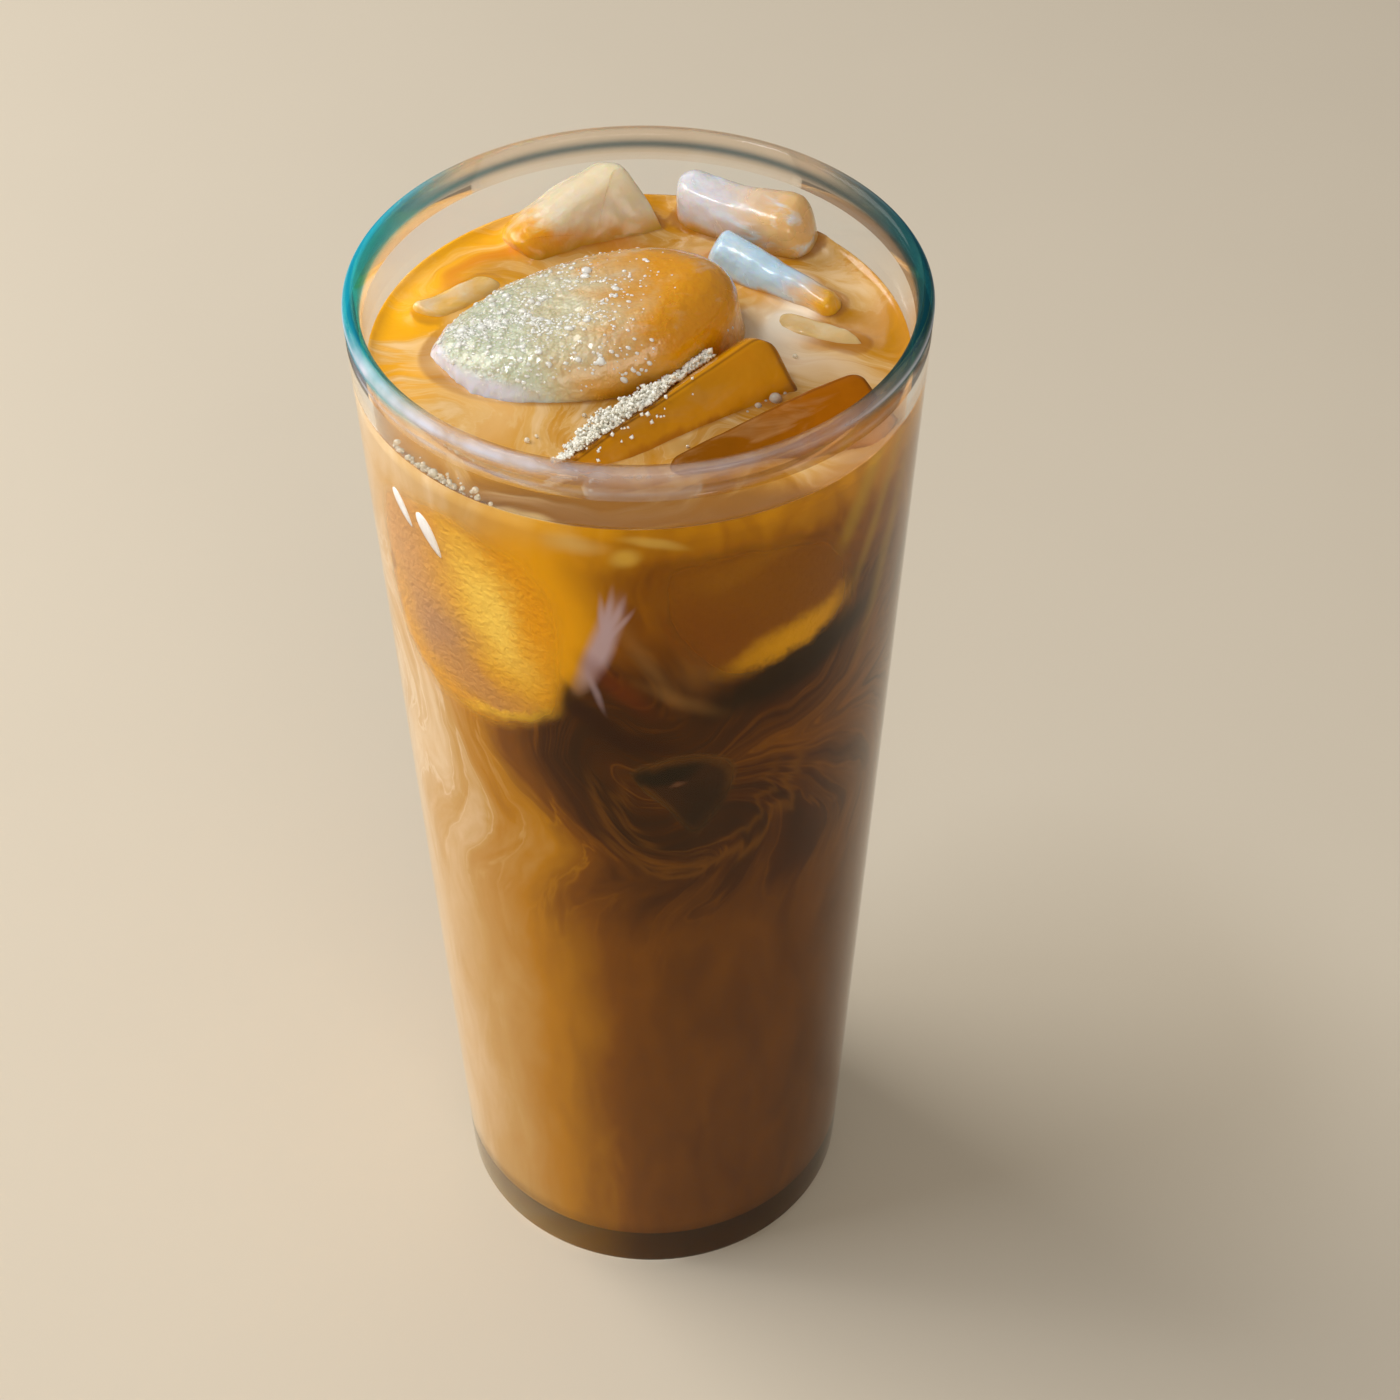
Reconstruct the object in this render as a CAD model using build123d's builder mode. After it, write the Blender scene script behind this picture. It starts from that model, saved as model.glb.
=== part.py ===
"""Iced coffee with cream in a tall, slightly tapered tumbler.

A heavy-based glass holds coffee and cream up to a level a little below its
lip, and eight pieces of ice float in it.  Each piece of ice stands partly out
of the drink, and the drink is cut round it.

Millimetres, +Z up.  The origin is the middle of the underside of the base.
-Y is the front, the side from which the drink is looked at.
"""
import os
from dataclasses import dataclass

from build123d import *

# ---------------------------------------------------------------- glass
glass_height = 162.8      # underside of the base to the top of the lip
rim_radius = 36.0         # outside of the lip
base_radius = 29.0        # outside of the base, where the taper starts
wall = 2.0                # wall of the glass, and the thickness of its lip
base_thickness = 5.0      # glass under the drink
bore_corner = 6.0         # rounding between the floor and the wall inside
foot_round = 1.6          # rounding between the underside and the wall

# ---------------------------------------------------------------- drink
headroom = 10.5           # top of the lip down to the drink
drink_gap = 0.1           # clearance between the drink and the wall

# ---------------------------------------------------------------- ice
ice_bore = 33.6           # bore radius for which the ice is sized below
ice_gap = 0.15            # clearance between a piece of ice and the drink
ice_wall_gap = 0.5        # clearance between a piece of ice and the glass

lip_radius = wall / 2
lip_centre = glass_height - lip_radius
drink_level = glass_height - headroom


def outer_radius(z):
    """Outside radius of the glass at height z: a straight taper."""
    return base_radius + (rim_radius - base_radius) * z / lip_centre


def bore_radius(z):
    """Inside radius of the glass at height z."""
    return outer_radius(z) - wall


ice_scale = bore_radius(drink_level) / ice_bore


@dataclass
class Ice:
    """One piece of ice, sized for a bore of ice_bore.

    The block is length by width by height along its own X, Y and Z.  It is
    turned in its own plane by spin, its X axis rises by rise, its top leans
    forward by lean, and its X axis then heads heading degrees from +X.  Its
    middle is at (x, y), and at z above the drink.
    """
    name: str
    length: float
    width: float
    height: float
    corner: float         # rounding of the four upright edges
    edge: float           # rounding round the top and the bottom
    taper: float          # draft of the sides, degrees
    x: float
    y: float
    z: float
    heading: float = 0.0
    lean: float = 0.0
    rise: float = 0.0
    spin: float = 0.0


blocks = [
    Ice("ice_slab_front", 32, 12.5, 6.0, 1.6, 1.1, 0, 5.2, -14.6, -2.0, 50, 51, 14),
    Ice("ice_slab_right", 20.5, 8.6, 4.8, 2.2, 1.2, 2, 19.9, -17.2, -1.7, 34, 25, 11),
    Ice("ice_peak", 18.5, 15, 9.0, 1.8, 1.2, 3, -7.4, 27.0, -1.0, 20, 56, -2, 27),
    Ice("ice_back", 22, 9.0, 13.0, 3.6, 2.4, 4, 13.8, 26.6, 0.4, -24, 16),
    Ice("ice_bar", 22, 6.5, 11.0, 2.8, 2.2, 3, 17.0, 14.8, -0.8, -36, 10, -8),
    Ice("ice_low", 15, 6.0, 9.0, 2.6, 1.4, 2, 22.6, 4.0, -3.3, -27, 6),
    Ice("ice_left", 15, 7.0, 9.0, 2.8, 1.6, 3, -23.2, 11.2, -3.2, 42, 8),
]

# The large piece in the middle is a loaf: an oval block with a split end.
loaf = Ice("ice_loaf", 40, 24, 18.0, 0, 6.0, 0, -6.4, 1.8, -1.7, 11.5, 0, 13)
loaf_under_edge = 4.0     # rounding round the loaf's underside
split_turn = 27.5         # heading of the split face's normal from the loaf's own -X
split_inset = 1.8         # how much of the loaf's end the split takes off
split_lean = 14.0         # how far the split face looks upwards


def ice_plane(ice):
    """Plane in which a piece of ice is drawn, at its own middle."""
    middle = Pos(ice.x * ice_scale, ice.y * ice_scale, drink_level + ice.z * ice_scale)
    return Plane(middle * Rot(0, 0, ice.heading) * Rot(ice.lean, -ice.rise, ice.spin))


def ice_room(grow):
    """Space inside the glass that ice may fill, as a solid of revolution."""
    clear = ice_wall_gap - grow
    with BuildPart() as room:
        with BuildSketch(Plane.XZ):
            with BuildLine():
                Polyline(
                    (0, base_thickness + bore_corner),
                    (bore_radius(base_thickness + bore_corner) - clear, base_thickness + bore_corner),
                    (bore_radius(glass_height) - clear, glass_height),
                    (0, glass_height),
                    close=True,
                )
            make_face()
        revolve(axis=Axis.Z)
    return room.part


def ends_along(part, plane):
    """The flat faces of a block that look along its own Z: the bottom, then the top."""
    flats = part.faces().filter_by(lambda face: abs(face.normal_at().dot(plane.z_dir)) > 0.99)
    return flats.sort_by(Axis(plane.origin, plane.z_dir))


def ice_block(ice, grow=0.0):
    """A melted tray cube: a drafted block with rounded edges, kept inside the bore."""
    plane = ice_plane(ice)
    length = ice.length * ice_scale + 2 * grow
    width = ice.width * ice_scale + 2 * grow
    height = ice.height * ice_scale + 2 * grow
    with BuildPart() as block:
        with BuildSketch(plane.offset(-height / 2)):
            RectangleRounded(length, width, ice.corner * ice_scale + grow)
        extrude(amount=height, taper=ice.taper)
        faces = ends_along(block.part, plane)
        fillet(faces[0].edges() + faces[-1].edges(), ice.edge * ice_scale)
        add(ice_room(grow), mode=Mode.INTERSECT)
    return block.part


def ice_loaf(grow=0.0):
    """The loaf: an oval block with a domed top, whose end is split off by a leaning plane."""
    plane = ice_plane(loaf)
    half_length = loaf.length * ice_scale / 2 + grow
    half_width = loaf.width * ice_scale / 2 + grow
    height = loaf.height * ice_scale + 2 * grow
    with BuildPart() as block:
        with BuildSketch(plane.offset(-height / 2)):
            Ellipse(half_length, half_width)
        extrude(amount=height)
        faces = ends_along(block.part, plane)
        fillet(faces[-1].edges(), loaf.edge * ice_scale)
        fillet(faces[0].edges(), loaf_under_edge * ice_scale)
        reach = half_length - split_inset * ice_scale
        split_place = plane.location * Rot(0, 0, 180 + split_turn) * Pos(reach, 0, 0)
        split_plane = Plane(split_place * Rot(0, 90 - split_lean, 0))
        split(bisect_by=split_plane, keep=Keep.BOTTOM)
    return block.part


def write(part, name):
    """Label a piece and write it to its own file."""
    part.label = name
    export_step(part, f"parts/{name}.step")


os.makedirs("parts", exist_ok=True)

with BuildPart() as glass:
    with BuildSketch(Plane.XZ) as glass_profile:
        with BuildLine():
            underside = Line((0, 0), (base_radius, 0))
            outside = Line(underside @ 1, (rim_radius, lip_centre))
            lip = ThreePointArc(
                outside @ 1,
                (rim_radius - lip_radius, glass_height),
                (rim_radius - wall, lip_centre),
            )
            bore = Line(lip @ 1, (bore_radius(base_thickness), base_thickness))
            floor = Line(bore @ 1, (0, base_thickness))
            Line(floor @ 1, underside @ 0)
        make_face()
        foot = glass_profile.vertices().sort_by_distance((base_radius, 0))[0]
        fillet(foot, foot_round)
        corner = glass_profile.vertices().sort_by_distance(
            (bore_radius(base_thickness), base_thickness)
        )[0]
        fillet(corner, bore_corner)
    revolve(axis=Axis.Z)

with BuildPart() as coffee:
    with BuildSketch(Plane.XZ) as drink_profile:
        with BuildLine():
            Polyline(
                (0, base_thickness),
                (bore_radius(base_thickness) - drink_gap, base_thickness),
                (bore_radius(drink_level) - drink_gap, drink_level),
                (0, drink_level),
                close=True,
            )
        make_face()
        corner = drink_profile.vertices().sort_by_distance(
            (bore_radius(base_thickness), base_thickness)
        )[0]
        fillet(corner, bore_corner)
    revolve(axis=Axis.Z)
    for ice in blocks:
        add(ice_block(ice, ice_gap), mode=Mode.SUBTRACT)
    add(ice_loaf(ice_gap), mode=Mode.SUBTRACT)

write(glass.part, "glass")
write(coffee.part, "coffee")
write(ice_loaf(), loaf.name)
for ice in blocks:
    write(ice_block(ice), ice.name)
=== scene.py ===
"""Iced coffee with cream in a tall tumbler: the looks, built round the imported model.

Sizes are in millimetres in this file and are written to the meshes in metres.
+Z is up, -Y is the front, and the origin is the middle of the underside.
"""
import math

import bpy
import numpy as np
from bpy.props import FloatProperty, FloatVectorProperty, IntProperty, PointerProperty
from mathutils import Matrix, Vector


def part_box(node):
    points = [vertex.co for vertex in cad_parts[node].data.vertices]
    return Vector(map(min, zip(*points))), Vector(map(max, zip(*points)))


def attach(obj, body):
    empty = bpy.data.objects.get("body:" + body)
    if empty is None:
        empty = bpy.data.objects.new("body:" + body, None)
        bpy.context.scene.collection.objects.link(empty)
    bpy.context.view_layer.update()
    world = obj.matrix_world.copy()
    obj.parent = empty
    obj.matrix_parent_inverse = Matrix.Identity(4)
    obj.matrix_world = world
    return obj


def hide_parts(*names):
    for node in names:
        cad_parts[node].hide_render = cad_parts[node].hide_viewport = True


bl_info = {
    "name": "Iced Coffee",
    "version": (1, 0, 0),
    "blender": (4, 5, 0),
    "location": "3D View > Sidebar > Iced Coffee",
    "description": "Builds a tumbler of iced coffee with cream, piece by piece",
    "category": "Add Mesh",
}

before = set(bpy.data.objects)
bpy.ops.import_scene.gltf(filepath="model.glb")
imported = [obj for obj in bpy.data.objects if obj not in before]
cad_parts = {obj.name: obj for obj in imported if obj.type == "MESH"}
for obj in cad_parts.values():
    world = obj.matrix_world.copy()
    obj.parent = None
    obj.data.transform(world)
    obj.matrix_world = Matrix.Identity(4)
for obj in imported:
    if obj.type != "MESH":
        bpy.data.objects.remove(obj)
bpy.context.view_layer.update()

MM = 0.001
GLASS_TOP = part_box("glass")[1]
LIP_HEIGHT = GLASS_TOP.z / MM
RIM_RADIUS = GLASS_TOP.x / MM
DRINK_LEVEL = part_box("coffee")[1].z / MM
SEED = 20
UNROLL_RADIUS = 32.0            # radius at which distances round the wall are measured


# ------------------------------------------------------------------ colours
def srgb(red, green, blue):
    """A display colour, 0 to 255 each, as linear red, green and blue."""
    c = np.array([red, green, blue], float) / 255
    return tuple(np.where(c <= 0.04045, c / 12.92, ((c + 0.055) / 1.055) ** 2.4))


WHITE = (1.0, 1.0, 1.0)
PALE_CREAM = srgb(226, 200, 150)
LILAC = srgb(184, 160, 166)
ESPRESSO_STREAK = srgb(40, 8, 1)
# Painted glow: the gold of light shining through the drink.
GOLD_GLOW = srgb(232, 164, 2)
OLIVE_GOLD = srgb(176, 138, 30)
SMOKE = srgb(172, 122, 62)


# ------------------------------------------------------------------ settings
def size(name, text, default, low=0.0, high=300.0):
    """A length that the panel can change."""
    text += ", in millimetres"
    return FloatProperty(name=name, description=text, default=default, min=low, max=high)


def count(name, text, default, low, high):
    """A whole number that the panel can change."""
    return IntProperty(name=name, description=text, default=default, min=low, max=high)


def power(name, text, default):
    """A strength of light that the panel can change."""
    return FloatProperty(name=name, description=text, default=default, min=0.0)


def tint(name, text, default):
    """A colour that the panel can change."""
    return FloatVectorProperty(
        name=name, description=text, default=default, subtype="COLOR", size=3, min=0.0, max=1.0
    )


class TumblerSizes(bpy.types.PropertyGroup):
    height: size("Height", "Underside to the top of the lip", LIP_HEIGHT)
    rim_radius: size("Rim radius", "Outside radius of the lip", RIM_RADIUS)
    base_radius: size("Base radius", "Outside radius where the taper starts", 29.0)
    wall: size("Wall", "Thickness of the wall and lip", 2.0)
    base_thickness: size("Base thickness", "Glass under the drink", 5.0)
    bore_corner: size("Bore corner", "Rounding between floor and wall inside", 6.0)
    foot_round: size("Foot rounding", "Rounding between underside and wall", 1.6)
    around: count("Facets", "Facets round the glass", 256, 48, 512)
    base_tint: tint("Base tint", "Colour of the thick base", (0.90, 0.97, 0.86))


class DrinkSizes(bpy.types.PropertyGroup):
    level: size("Level", "Height of the drink", DRINK_LEVEL)
    wall_reach: size("Wall reach", "How far the drink reaches into the wall", 0.3)
    meniscus: size("Meniscus", "How far the drink climbs the wall", 0.9)
    ice_meniscus: size("Ice meniscus", "How far the drink climbs the ice", 0.45)
    espresso: tint("Espresso", "Darkest coffee", srgb(26, 7, 1))
    coffee: tint("Coffee", "Dark coffee", srgb(66, 28, 1))
    amber: tint("Amber", "Coffee with a little cream", srgb(125, 70, 1))
    gold: tint("Gold", "Coffee lit through", srgb(190, 128, 8))
    caramel: tint("Caramel", "Coffee with cream", srgb(206, 160, 88))
    cream: tint("Cream", "Nearly all cream", srgb(238, 214, 178))


class IceSizes(bpy.types.PropertyGroup):
    around: count("Steps around", "Mesh steps round a block", 200, 48, 400)
    ripple: size("Ripple", "Depth of the melted waves on a block", 0.18, 0.0, 1.0)
    slump: size("Slump", "How far melting has let a block's sides sag", 0.7, 0.0, 2.0)
    frost_depth: size("Frost depth", "Height of the frost lumps on the loaf", 0.32, 0.0, 1.0)
    beads: count("Frost beads", "How many beads of frost on the loaf", 1500, 0, 6000)
    crystal: size("Crystal", "Usual size of a frost crystal", 0.5, 0.1, 2.0)
    crystals: count("Crystals", "How many frost crystals", 2300, 0, 4000)


class StudioSettings(bpy.types.PropertyGroup):
    floor: tint("Floor", "Colour of the floor", srgb(212, 202, 184))
    air: tint("Air", "Colour of the light from all round", (0.86, 0.80, 0.72))
    air_strength: power("Air strength", "Strength of the light from all round", 0.36)
    key_power: power("Key", "Power of the large soft light at the left", 5.8)
    fill_power: power("Fill", "Power of the soft light in front", 4.2)
    top_power: power("Top", "Power of the soft light above", 2.4)


# ------------------------------------------------------------------ shapes
def turn(x=0.0, y=0.0, z=0.0):
    """Rotation by x, then y, then z degrees about its own moving axes: X times Y times Z."""
    (cx, sx), (cy, sy), (cz, sz) = ((math.cos(math.radians(a)), math.sin(math.radians(a))) for a in (x, y, z))
    rx = np.array([[1, 0, 0], [0, cx, -sx], [0, sx, cx]])
    ry = np.array([[cy, 0, sy], [0, 1, 0], [-sy, 0, cy]])
    rz = np.array([[cz, -sz, 0], [sz, cz, 0], [0, 0, 1]])
    return rx @ ry @ rz


def lattice_noise(points, cell, seed):
    """Smooth noise from 0 to 1: random values on a cubic lattice, eased between by 3t^2 - 2t^3."""
    table = np.random.default_rng(seed).random((32, 32, 32))
    q = np.asarray(points) / cell
    low = np.floor(q).astype(int)
    t = q - low
    t = t * t * (3 - 2 * t)
    total = np.zeros(q.shape[:-1])
    for corner in range(8):
        step = np.array([corner & 1, corner >> 1 & 1, corner >> 2 & 1])
        weight = np.prod(np.where(step, t, 1 - t), axis=-1)
        at = (low + step) % 32
        total += weight * table[at[..., 0], at[..., 1], at[..., 2]]
    return total


def rounded(corner, before, after, radius, steps):
    """Arc that rounds a corner: it meets both lines at radius / tan(half the angle) from the corner."""
    corner, before, after = (np.asarray(p, float) for p in (corner, before, after))
    a = (before - corner) / np.linalg.norm(before - corner)
    b = (after - corner) / np.linalg.norm(after - corner)
    half = math.acos(float(np.clip(a @ b, -1, 1))) / 2
    centre = corner + (a + b) / np.linalg.norm(a + b) * radius / math.sin(half)
    start = corner + a * radius / math.tan(half) - centre
    end = corner + b * radius / math.tan(half) - centre
    sweep = math.atan2(start[0] * end[1] - start[1] * end[0], start @ end)
    angle = np.linspace(0, sweep, steps)
    x = start[0] * np.cos(angle) - start[1] * np.sin(angle)
    y = start[0] * np.sin(angle) + start[1] * np.cos(angle)
    return centre + np.stack([x, y], 1)


def outer_radius(glass, z):
    """Outside radius at height z: a straight taper from base to lip."""
    return glass.base_radius + (glass.rim_radius - glass.base_radius) * z / (glass.height - glass.wall / 2)


def bore_radius(glass, z):
    """Inside radius at height z."""
    return outer_radius(glass, z) - glass.wall


def on_wall(glass, angle, height, reach):
    """Points reach millimetres into the wall from the bore, at angles in radians from the front."""
    radius = bore_radius(glass, height) + reach
    return np.stack([radius * np.sin(angle), -radius * np.cos(angle), height + 0 * angle], -1)


def line(start, end, steps):
    """Points evenly from start to end, ends included."""
    return np.linspace(start, end, steps)


def turned(profile, around):
    """A profile of (r, height) carried round Z: points (r sin a, -r cos a, height), from the front."""
    angle = np.linspace(0, 2 * np.pi, around, endpoint=False)
    r, z = profile[:, :1], profile[:, 1:]
    return np.stack([r * np.sin(angle), -r * np.cos(angle), z + 0 * angle], -1)


def closed_shell(rings, first, last):
    """Vertices, quads and triangles of rings joined in turn, closed by a fan to a point at each end."""
    count, around = rings.shape[:2]
    vertices = np.concatenate([rings.reshape(-1, 3), [first, last]])
    i = np.arange(around)
    j = (i + 1) % around
    row = np.arange(count - 1)[:, None] * around
    quads = np.stack([row + i, row + j, row + around + j, row + around + i], -1).reshape(-1, 4)
    top = (count - 1) * around
    fans = np.concatenate(
        [
            np.stack([np.full(around, count * around), j, i], -1),
            np.stack([np.full(around, count * around + 1), top + i, top + j], -1),
        ]
    )
    return vertices, quads, fans


def capped(rings):
    """A closed shell of rings whose end points are the middles of its end rings."""
    return closed_shell(rings, rings[0].mean(0), rings[-1].mean(0))


def spaced(curve, count, bend=6.0):
    """Points along a closed curve, even by length plus bend times the angle turned, so corners get more."""
    step = np.roll(curve, -1, 0) - curve
    length = np.linalg.norm(step, axis=1)
    heading = np.unwrap(np.arctan2(step[:, 1], step[:, 0]))
    turned_by = np.abs(np.append(np.diff(heading), 0))
    reach = np.concatenate([[0], np.cumsum(length + bend * turned_by)])
    where = np.interp(np.linspace(0, reach[-1], count, endpoint=False), reach, np.arange(len(reach)))
    index = where.astype(int)
    part = (where - index)[:, None]
    return curve[index] * (1 - part) + np.roll(curve, -1, 0)[index] * part


FINE_STEPS = 4096       # steps round an outline before it is spaced


def rectangle_outline(length, width, corner, count):
    """A rounded rectangle: each point is pulled in to the core, then pushed out by the corner radius."""
    t = np.linspace(0, 2 * np.pi, FINE_STEPS, endpoint=False)
    p = np.stack([np.cos(t), np.sin(t)], 1)
    p = p / np.abs(p).max(1, keepdims=True) * np.array([length / 2, width / 2])
    core = np.array([length / 2 - corner, width / 2 - corner])
    core = np.clip(p, -core, core)
    out = p - core
    return spaced(core + corner * out / np.linalg.norm(out, axis=1, keepdims=True), count)


def ellipse_outline(length, width, count):
    """An ellipse, (a cos t, b sin t), spaced evenly."""
    t = np.linspace(0, 2 * np.pi, FINE_STEPS, endpoint=False)
    return spaced(np.stack([length / 2 * np.cos(t), width / 2 * np.sin(t)], 1), count, 0.0)


def block_rings(outline, height, under_edge, top_edge, taper, step):
    """An outline carried up an edge profile: cap, quarter round, drafted side, quarter round, cap.

    Each ring is the outline moved in along its normal, or scaled to the middle on a cap.
    Returns the rings and their normals.
    """
    along = np.roll(outline, -1, 0) - np.roll(outline, 1, 0)
    normal = np.stack([along[:, 1], -along[:, 0]], 1)
    normal /= np.linalg.norm(normal, axis=1, keepdims=True)
    small = np.abs(outline).max(0).min()
    cap = np.linspace(0, 1, max(6, int(small / step)) + 1)[1:]
    arc = np.linspace(0, np.pi / 2, max(5, int(1.6 * top_edge / step) + 2))
    side = np.linspace(0, 1, max(3, int((height - under_edge - top_edge) / step)))[1:-1]
    draft = math.tan(math.radians(taper))
    low, high = -height / 2, height / 2
    inset = np.concatenate([under_edge * (1 - np.sin(arc)), 0 * side, top_edge * (1 - np.cos(arc))])
    z = np.concatenate(
        [
            low + under_edge * (1 - np.cos(arc)),
            low + under_edge + (height - under_edge - top_edge) * side,
            high - top_edge * (1 - np.sin(arc)),
        ]
    )
    inset = inset + draft * (z - low)
    wall_rings = np.concatenate(
        [
            outline[None] - normal[None] * inset[:, None, None],
            np.broadcast_to(z[:, None, None], (len(z), len(outline), 1)),
        ],
        -1,
    )
    bottom = wall_rings[:1] * np.array([1, 1, 0]) * cap[:-1, None, None] + np.array([0, 0, low])
    top = wall_rings[-1:] * np.array([1, 1, 0]) * cap[-2::-1, None, None] + np.array([0, 0, high])
    up = np.concatenate([-np.cos(arc), 0 * side, np.sin(arc)])
    up = np.concatenate([-np.ones(len(bottom)), up, np.ones(len(top))])[:, None]
    out = np.sqrt(1 - up**2)
    normals = np.stack([out * normal[:, 0], out * normal[:, 1], up + 0 * out * normal[:, 0]], -1)
    return np.concatenate([bottom, wall_rings, top]), normals


def in_glass(points, glass, clear=0.45):
    """Points drawn in towards the axis where they are nearer the wall than clear, as ice against it."""
    radius = np.hypot(points[..., 0], points[..., 1])
    limit = bore_radius(glass, points[..., 2]) - clear
    scale = np.minimum(1, limit / np.maximum(radius, 1e-6))
    return points * np.stack([scale, scale, np.ones_like(scale)], -1)


def pressed_flat(points, toward, reach, soft=0.3):
    """Points past reach along toward drawn back to it by soft log(1 + exp(beyond / soft)): a soft edge."""
    beyond = points @ toward - reach
    return points - (soft * np.logaddexp(0, beyond / soft))[..., None] * toward


def smooth_outline(points, count):
    """A closed Catmull-Rom curve through points.

    Each span is 0.5(2p1 + (p2-p0)t + (2p0-5p1+4p2-p3)t^2 + (3p1-p0-3p2+p3)t^3).
    """
    p = np.asarray(points, float)
    p0, p1, p2, p3 = (np.roll(p, shift, 0)[:, None] for shift in (1, 0, -1, -2))
    t = np.linspace(0, 1, 64, endpoint=False)[None, :, None]
    squared, cubed = 2 * p0 - 5 * p1 + 4 * p2 - p3, 3 * p1 - p0 - 3 * p2 + p3
    curve = 0.5 * (2 * p1 + (p2 - p0) * t + squared * t**2 + cubed * t**3)
    return spaced(curve.reshape(-1, 2), count, 1.0)


def ball(around, rows):
    """A unit ball: rings of (sin v cos u, sin v sin u, -cos v), closed by a point at each pole."""
    u = np.linspace(0, 2 * np.pi, around, endpoint=False)
    v = np.linspace(0, np.pi, rows + 2)[1:-1, None]
    rings = np.stack([np.sin(v) * np.cos(u), np.sin(v) * np.sin(u), -np.cos(v) + 0 * u], -1)
    return closed_shell(rings, (0, 0, -1), (0, 0, 1))


def many(shape, places, frames, sizes):
    """One small shape repeated: scaled by sizes (n, 3), turned by frames (n, 3, 3) and moved to places."""
    vertices, quads, fans = shape
    verts = np.einsum("nij,nkj->nki", frames, vertices[None] * sizes[:, None]) + places[:, None]
    step = (len(vertices) * np.arange(len(places)))[:, None, None]
    return verts.reshape(-1, 3), (quads[None] + step).reshape(-1, 4), (fans[None] + step).reshape(-1, 3)


def unturned(count):
    """A frame for each of count shapes that stand as they are."""
    return np.tile(np.eye(3), (count, 1, 1))


def frames_on(normals):
    """A turn for each normal, with its third column along it."""
    side = np.cross(normals, np.array([0.31, 0.67, 0.41]))
    side /= np.linalg.norm(side, axis=1, keepdims=True)
    return np.stack([side, np.cross(normals, side), normals], -1)


def crystals(places, usual, rng):
    """A small grain at each place: an octahedron's points pushed apart, turned at random and scaled."""
    count = len(places)
    corners = np.array([[1, 0, 0], [0, 1, 0], [-1, 0, 0], [0, -1, 0], [0, 0, 1], [0, 0, -1]], float)
    faces = np.array([[0, 1, 4], [1, 2, 4], [2, 3, 4], [3, 0, 4], [1, 0, 5], [2, 1, 5], [3, 2, 5], [0, 3, 5]])
    stretch = rng.uniform(0.6, 1.3, (count, 6, 1))
    turns = np.linalg.qr(rng.normal(size=(count, 3, 3)))[0]
    turns *= np.sign(np.linalg.det(turns))[:, None, None]
    grain = usual / 2 * rng.lognormal(0, 0.28, (count, 1, 1))
    verts = np.einsum("nij,nkj->nki", turns, corners[None] * stretch * grain) + places[:, None]
    tris = faces[None] + 6 * np.arange(count)[:, None, None]
    return verts.reshape(-1, 3), np.zeros((0, 4), int), tris.reshape(-1, 3)


# ------------------------------------------------------------------ meshes
def add_piece(
    name, shape, materials, stand_for=None, smooth=True, attributes=None, face_material=None
):
    """Makes an object from a shape in millimetres, rides it on the body and hides the part it stands for."""
    vertices, quads, fans = shape
    mesh = bpy.data.meshes.new(name)
    loops = np.concatenate([quads.ravel(), fans.ravel()]).astype(np.int32)
    totals = np.concatenate([np.full(len(quads), 4), np.full(len(fans), 3)]).astype(np.int32)
    starts = np.concatenate([[0], np.cumsum(totals)[:-1]]).astype(np.int32)
    mesh.vertices.add(len(vertices))
    mesh.vertices.foreach_set("co", (np.asarray(vertices) * MM).astype(np.float32).ravel())
    mesh.loops.add(len(loops))
    mesh.loops.foreach_set("vertex_index", loops)
    mesh.polygons.add(len(totals))
    mesh.polygons.foreach_set("loop_start", starts)
    mesh.polygons.foreach_set("loop_total", totals)
    for material in materials:
        mesh.materials.append(material)
    if face_material is not None:
        mesh.polygons.foreach_set("material_index", face_material.astype(np.int32))
    mesh.update(calc_edges=True)
    mesh.validate()
    if smooth:
        mesh.shade_smooth()
    for label, values in (attributes or {}).items():
        kind, key = ("FLOAT", "value") if values.ndim == 1 else ("FLOAT_VECTOR", "vector")
        data = mesh.attributes.new(label, kind, "POINT").data
        data.foreach_set(key, values.astype(np.float32).ravel())
    piece = bpy.data.objects.new(name, mesh)
    bpy.context.scene.collection.objects.link(piece)
    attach(piece, "root")
    if stand_for:
        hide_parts(stand_for)


# ------------------------------------------------------------------ shader helpers
class Value:
    """A node's output that takes part in sums: by Vector Math nodes if it is a vector, else by Math nodes."""

    def __init__(self, tree, socket):
        self.tree, self.socket = tree, socket
        self.is_vector = socket.type == "VECTOR"
        self.reckon = tree.vector if self.is_vector else tree.math

    def __add__(self, other):
        return self.reckon("ADD", self, other)

    def __radd__(self, other):
        return self.reckon("ADD", other, self)

    def __sub__(self, other):
        return self.reckon("SUBTRACT", self, other)

    def __rsub__(self, other):
        return self.reckon("SUBTRACT", other, self)

    def __mul__(self, other):
        if self.is_vector and not isinstance(other, tuple):
            return self.tree.vector("SCALE", self, scale=other)
        return self.reckon("MULTIPLY", self, other)

    def __truediv__(self, other):
        return self.reckon("DIVIDE", self, other)

    def __abs__(self):
        return self.reckon("ABSOLUTE", self)


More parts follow.
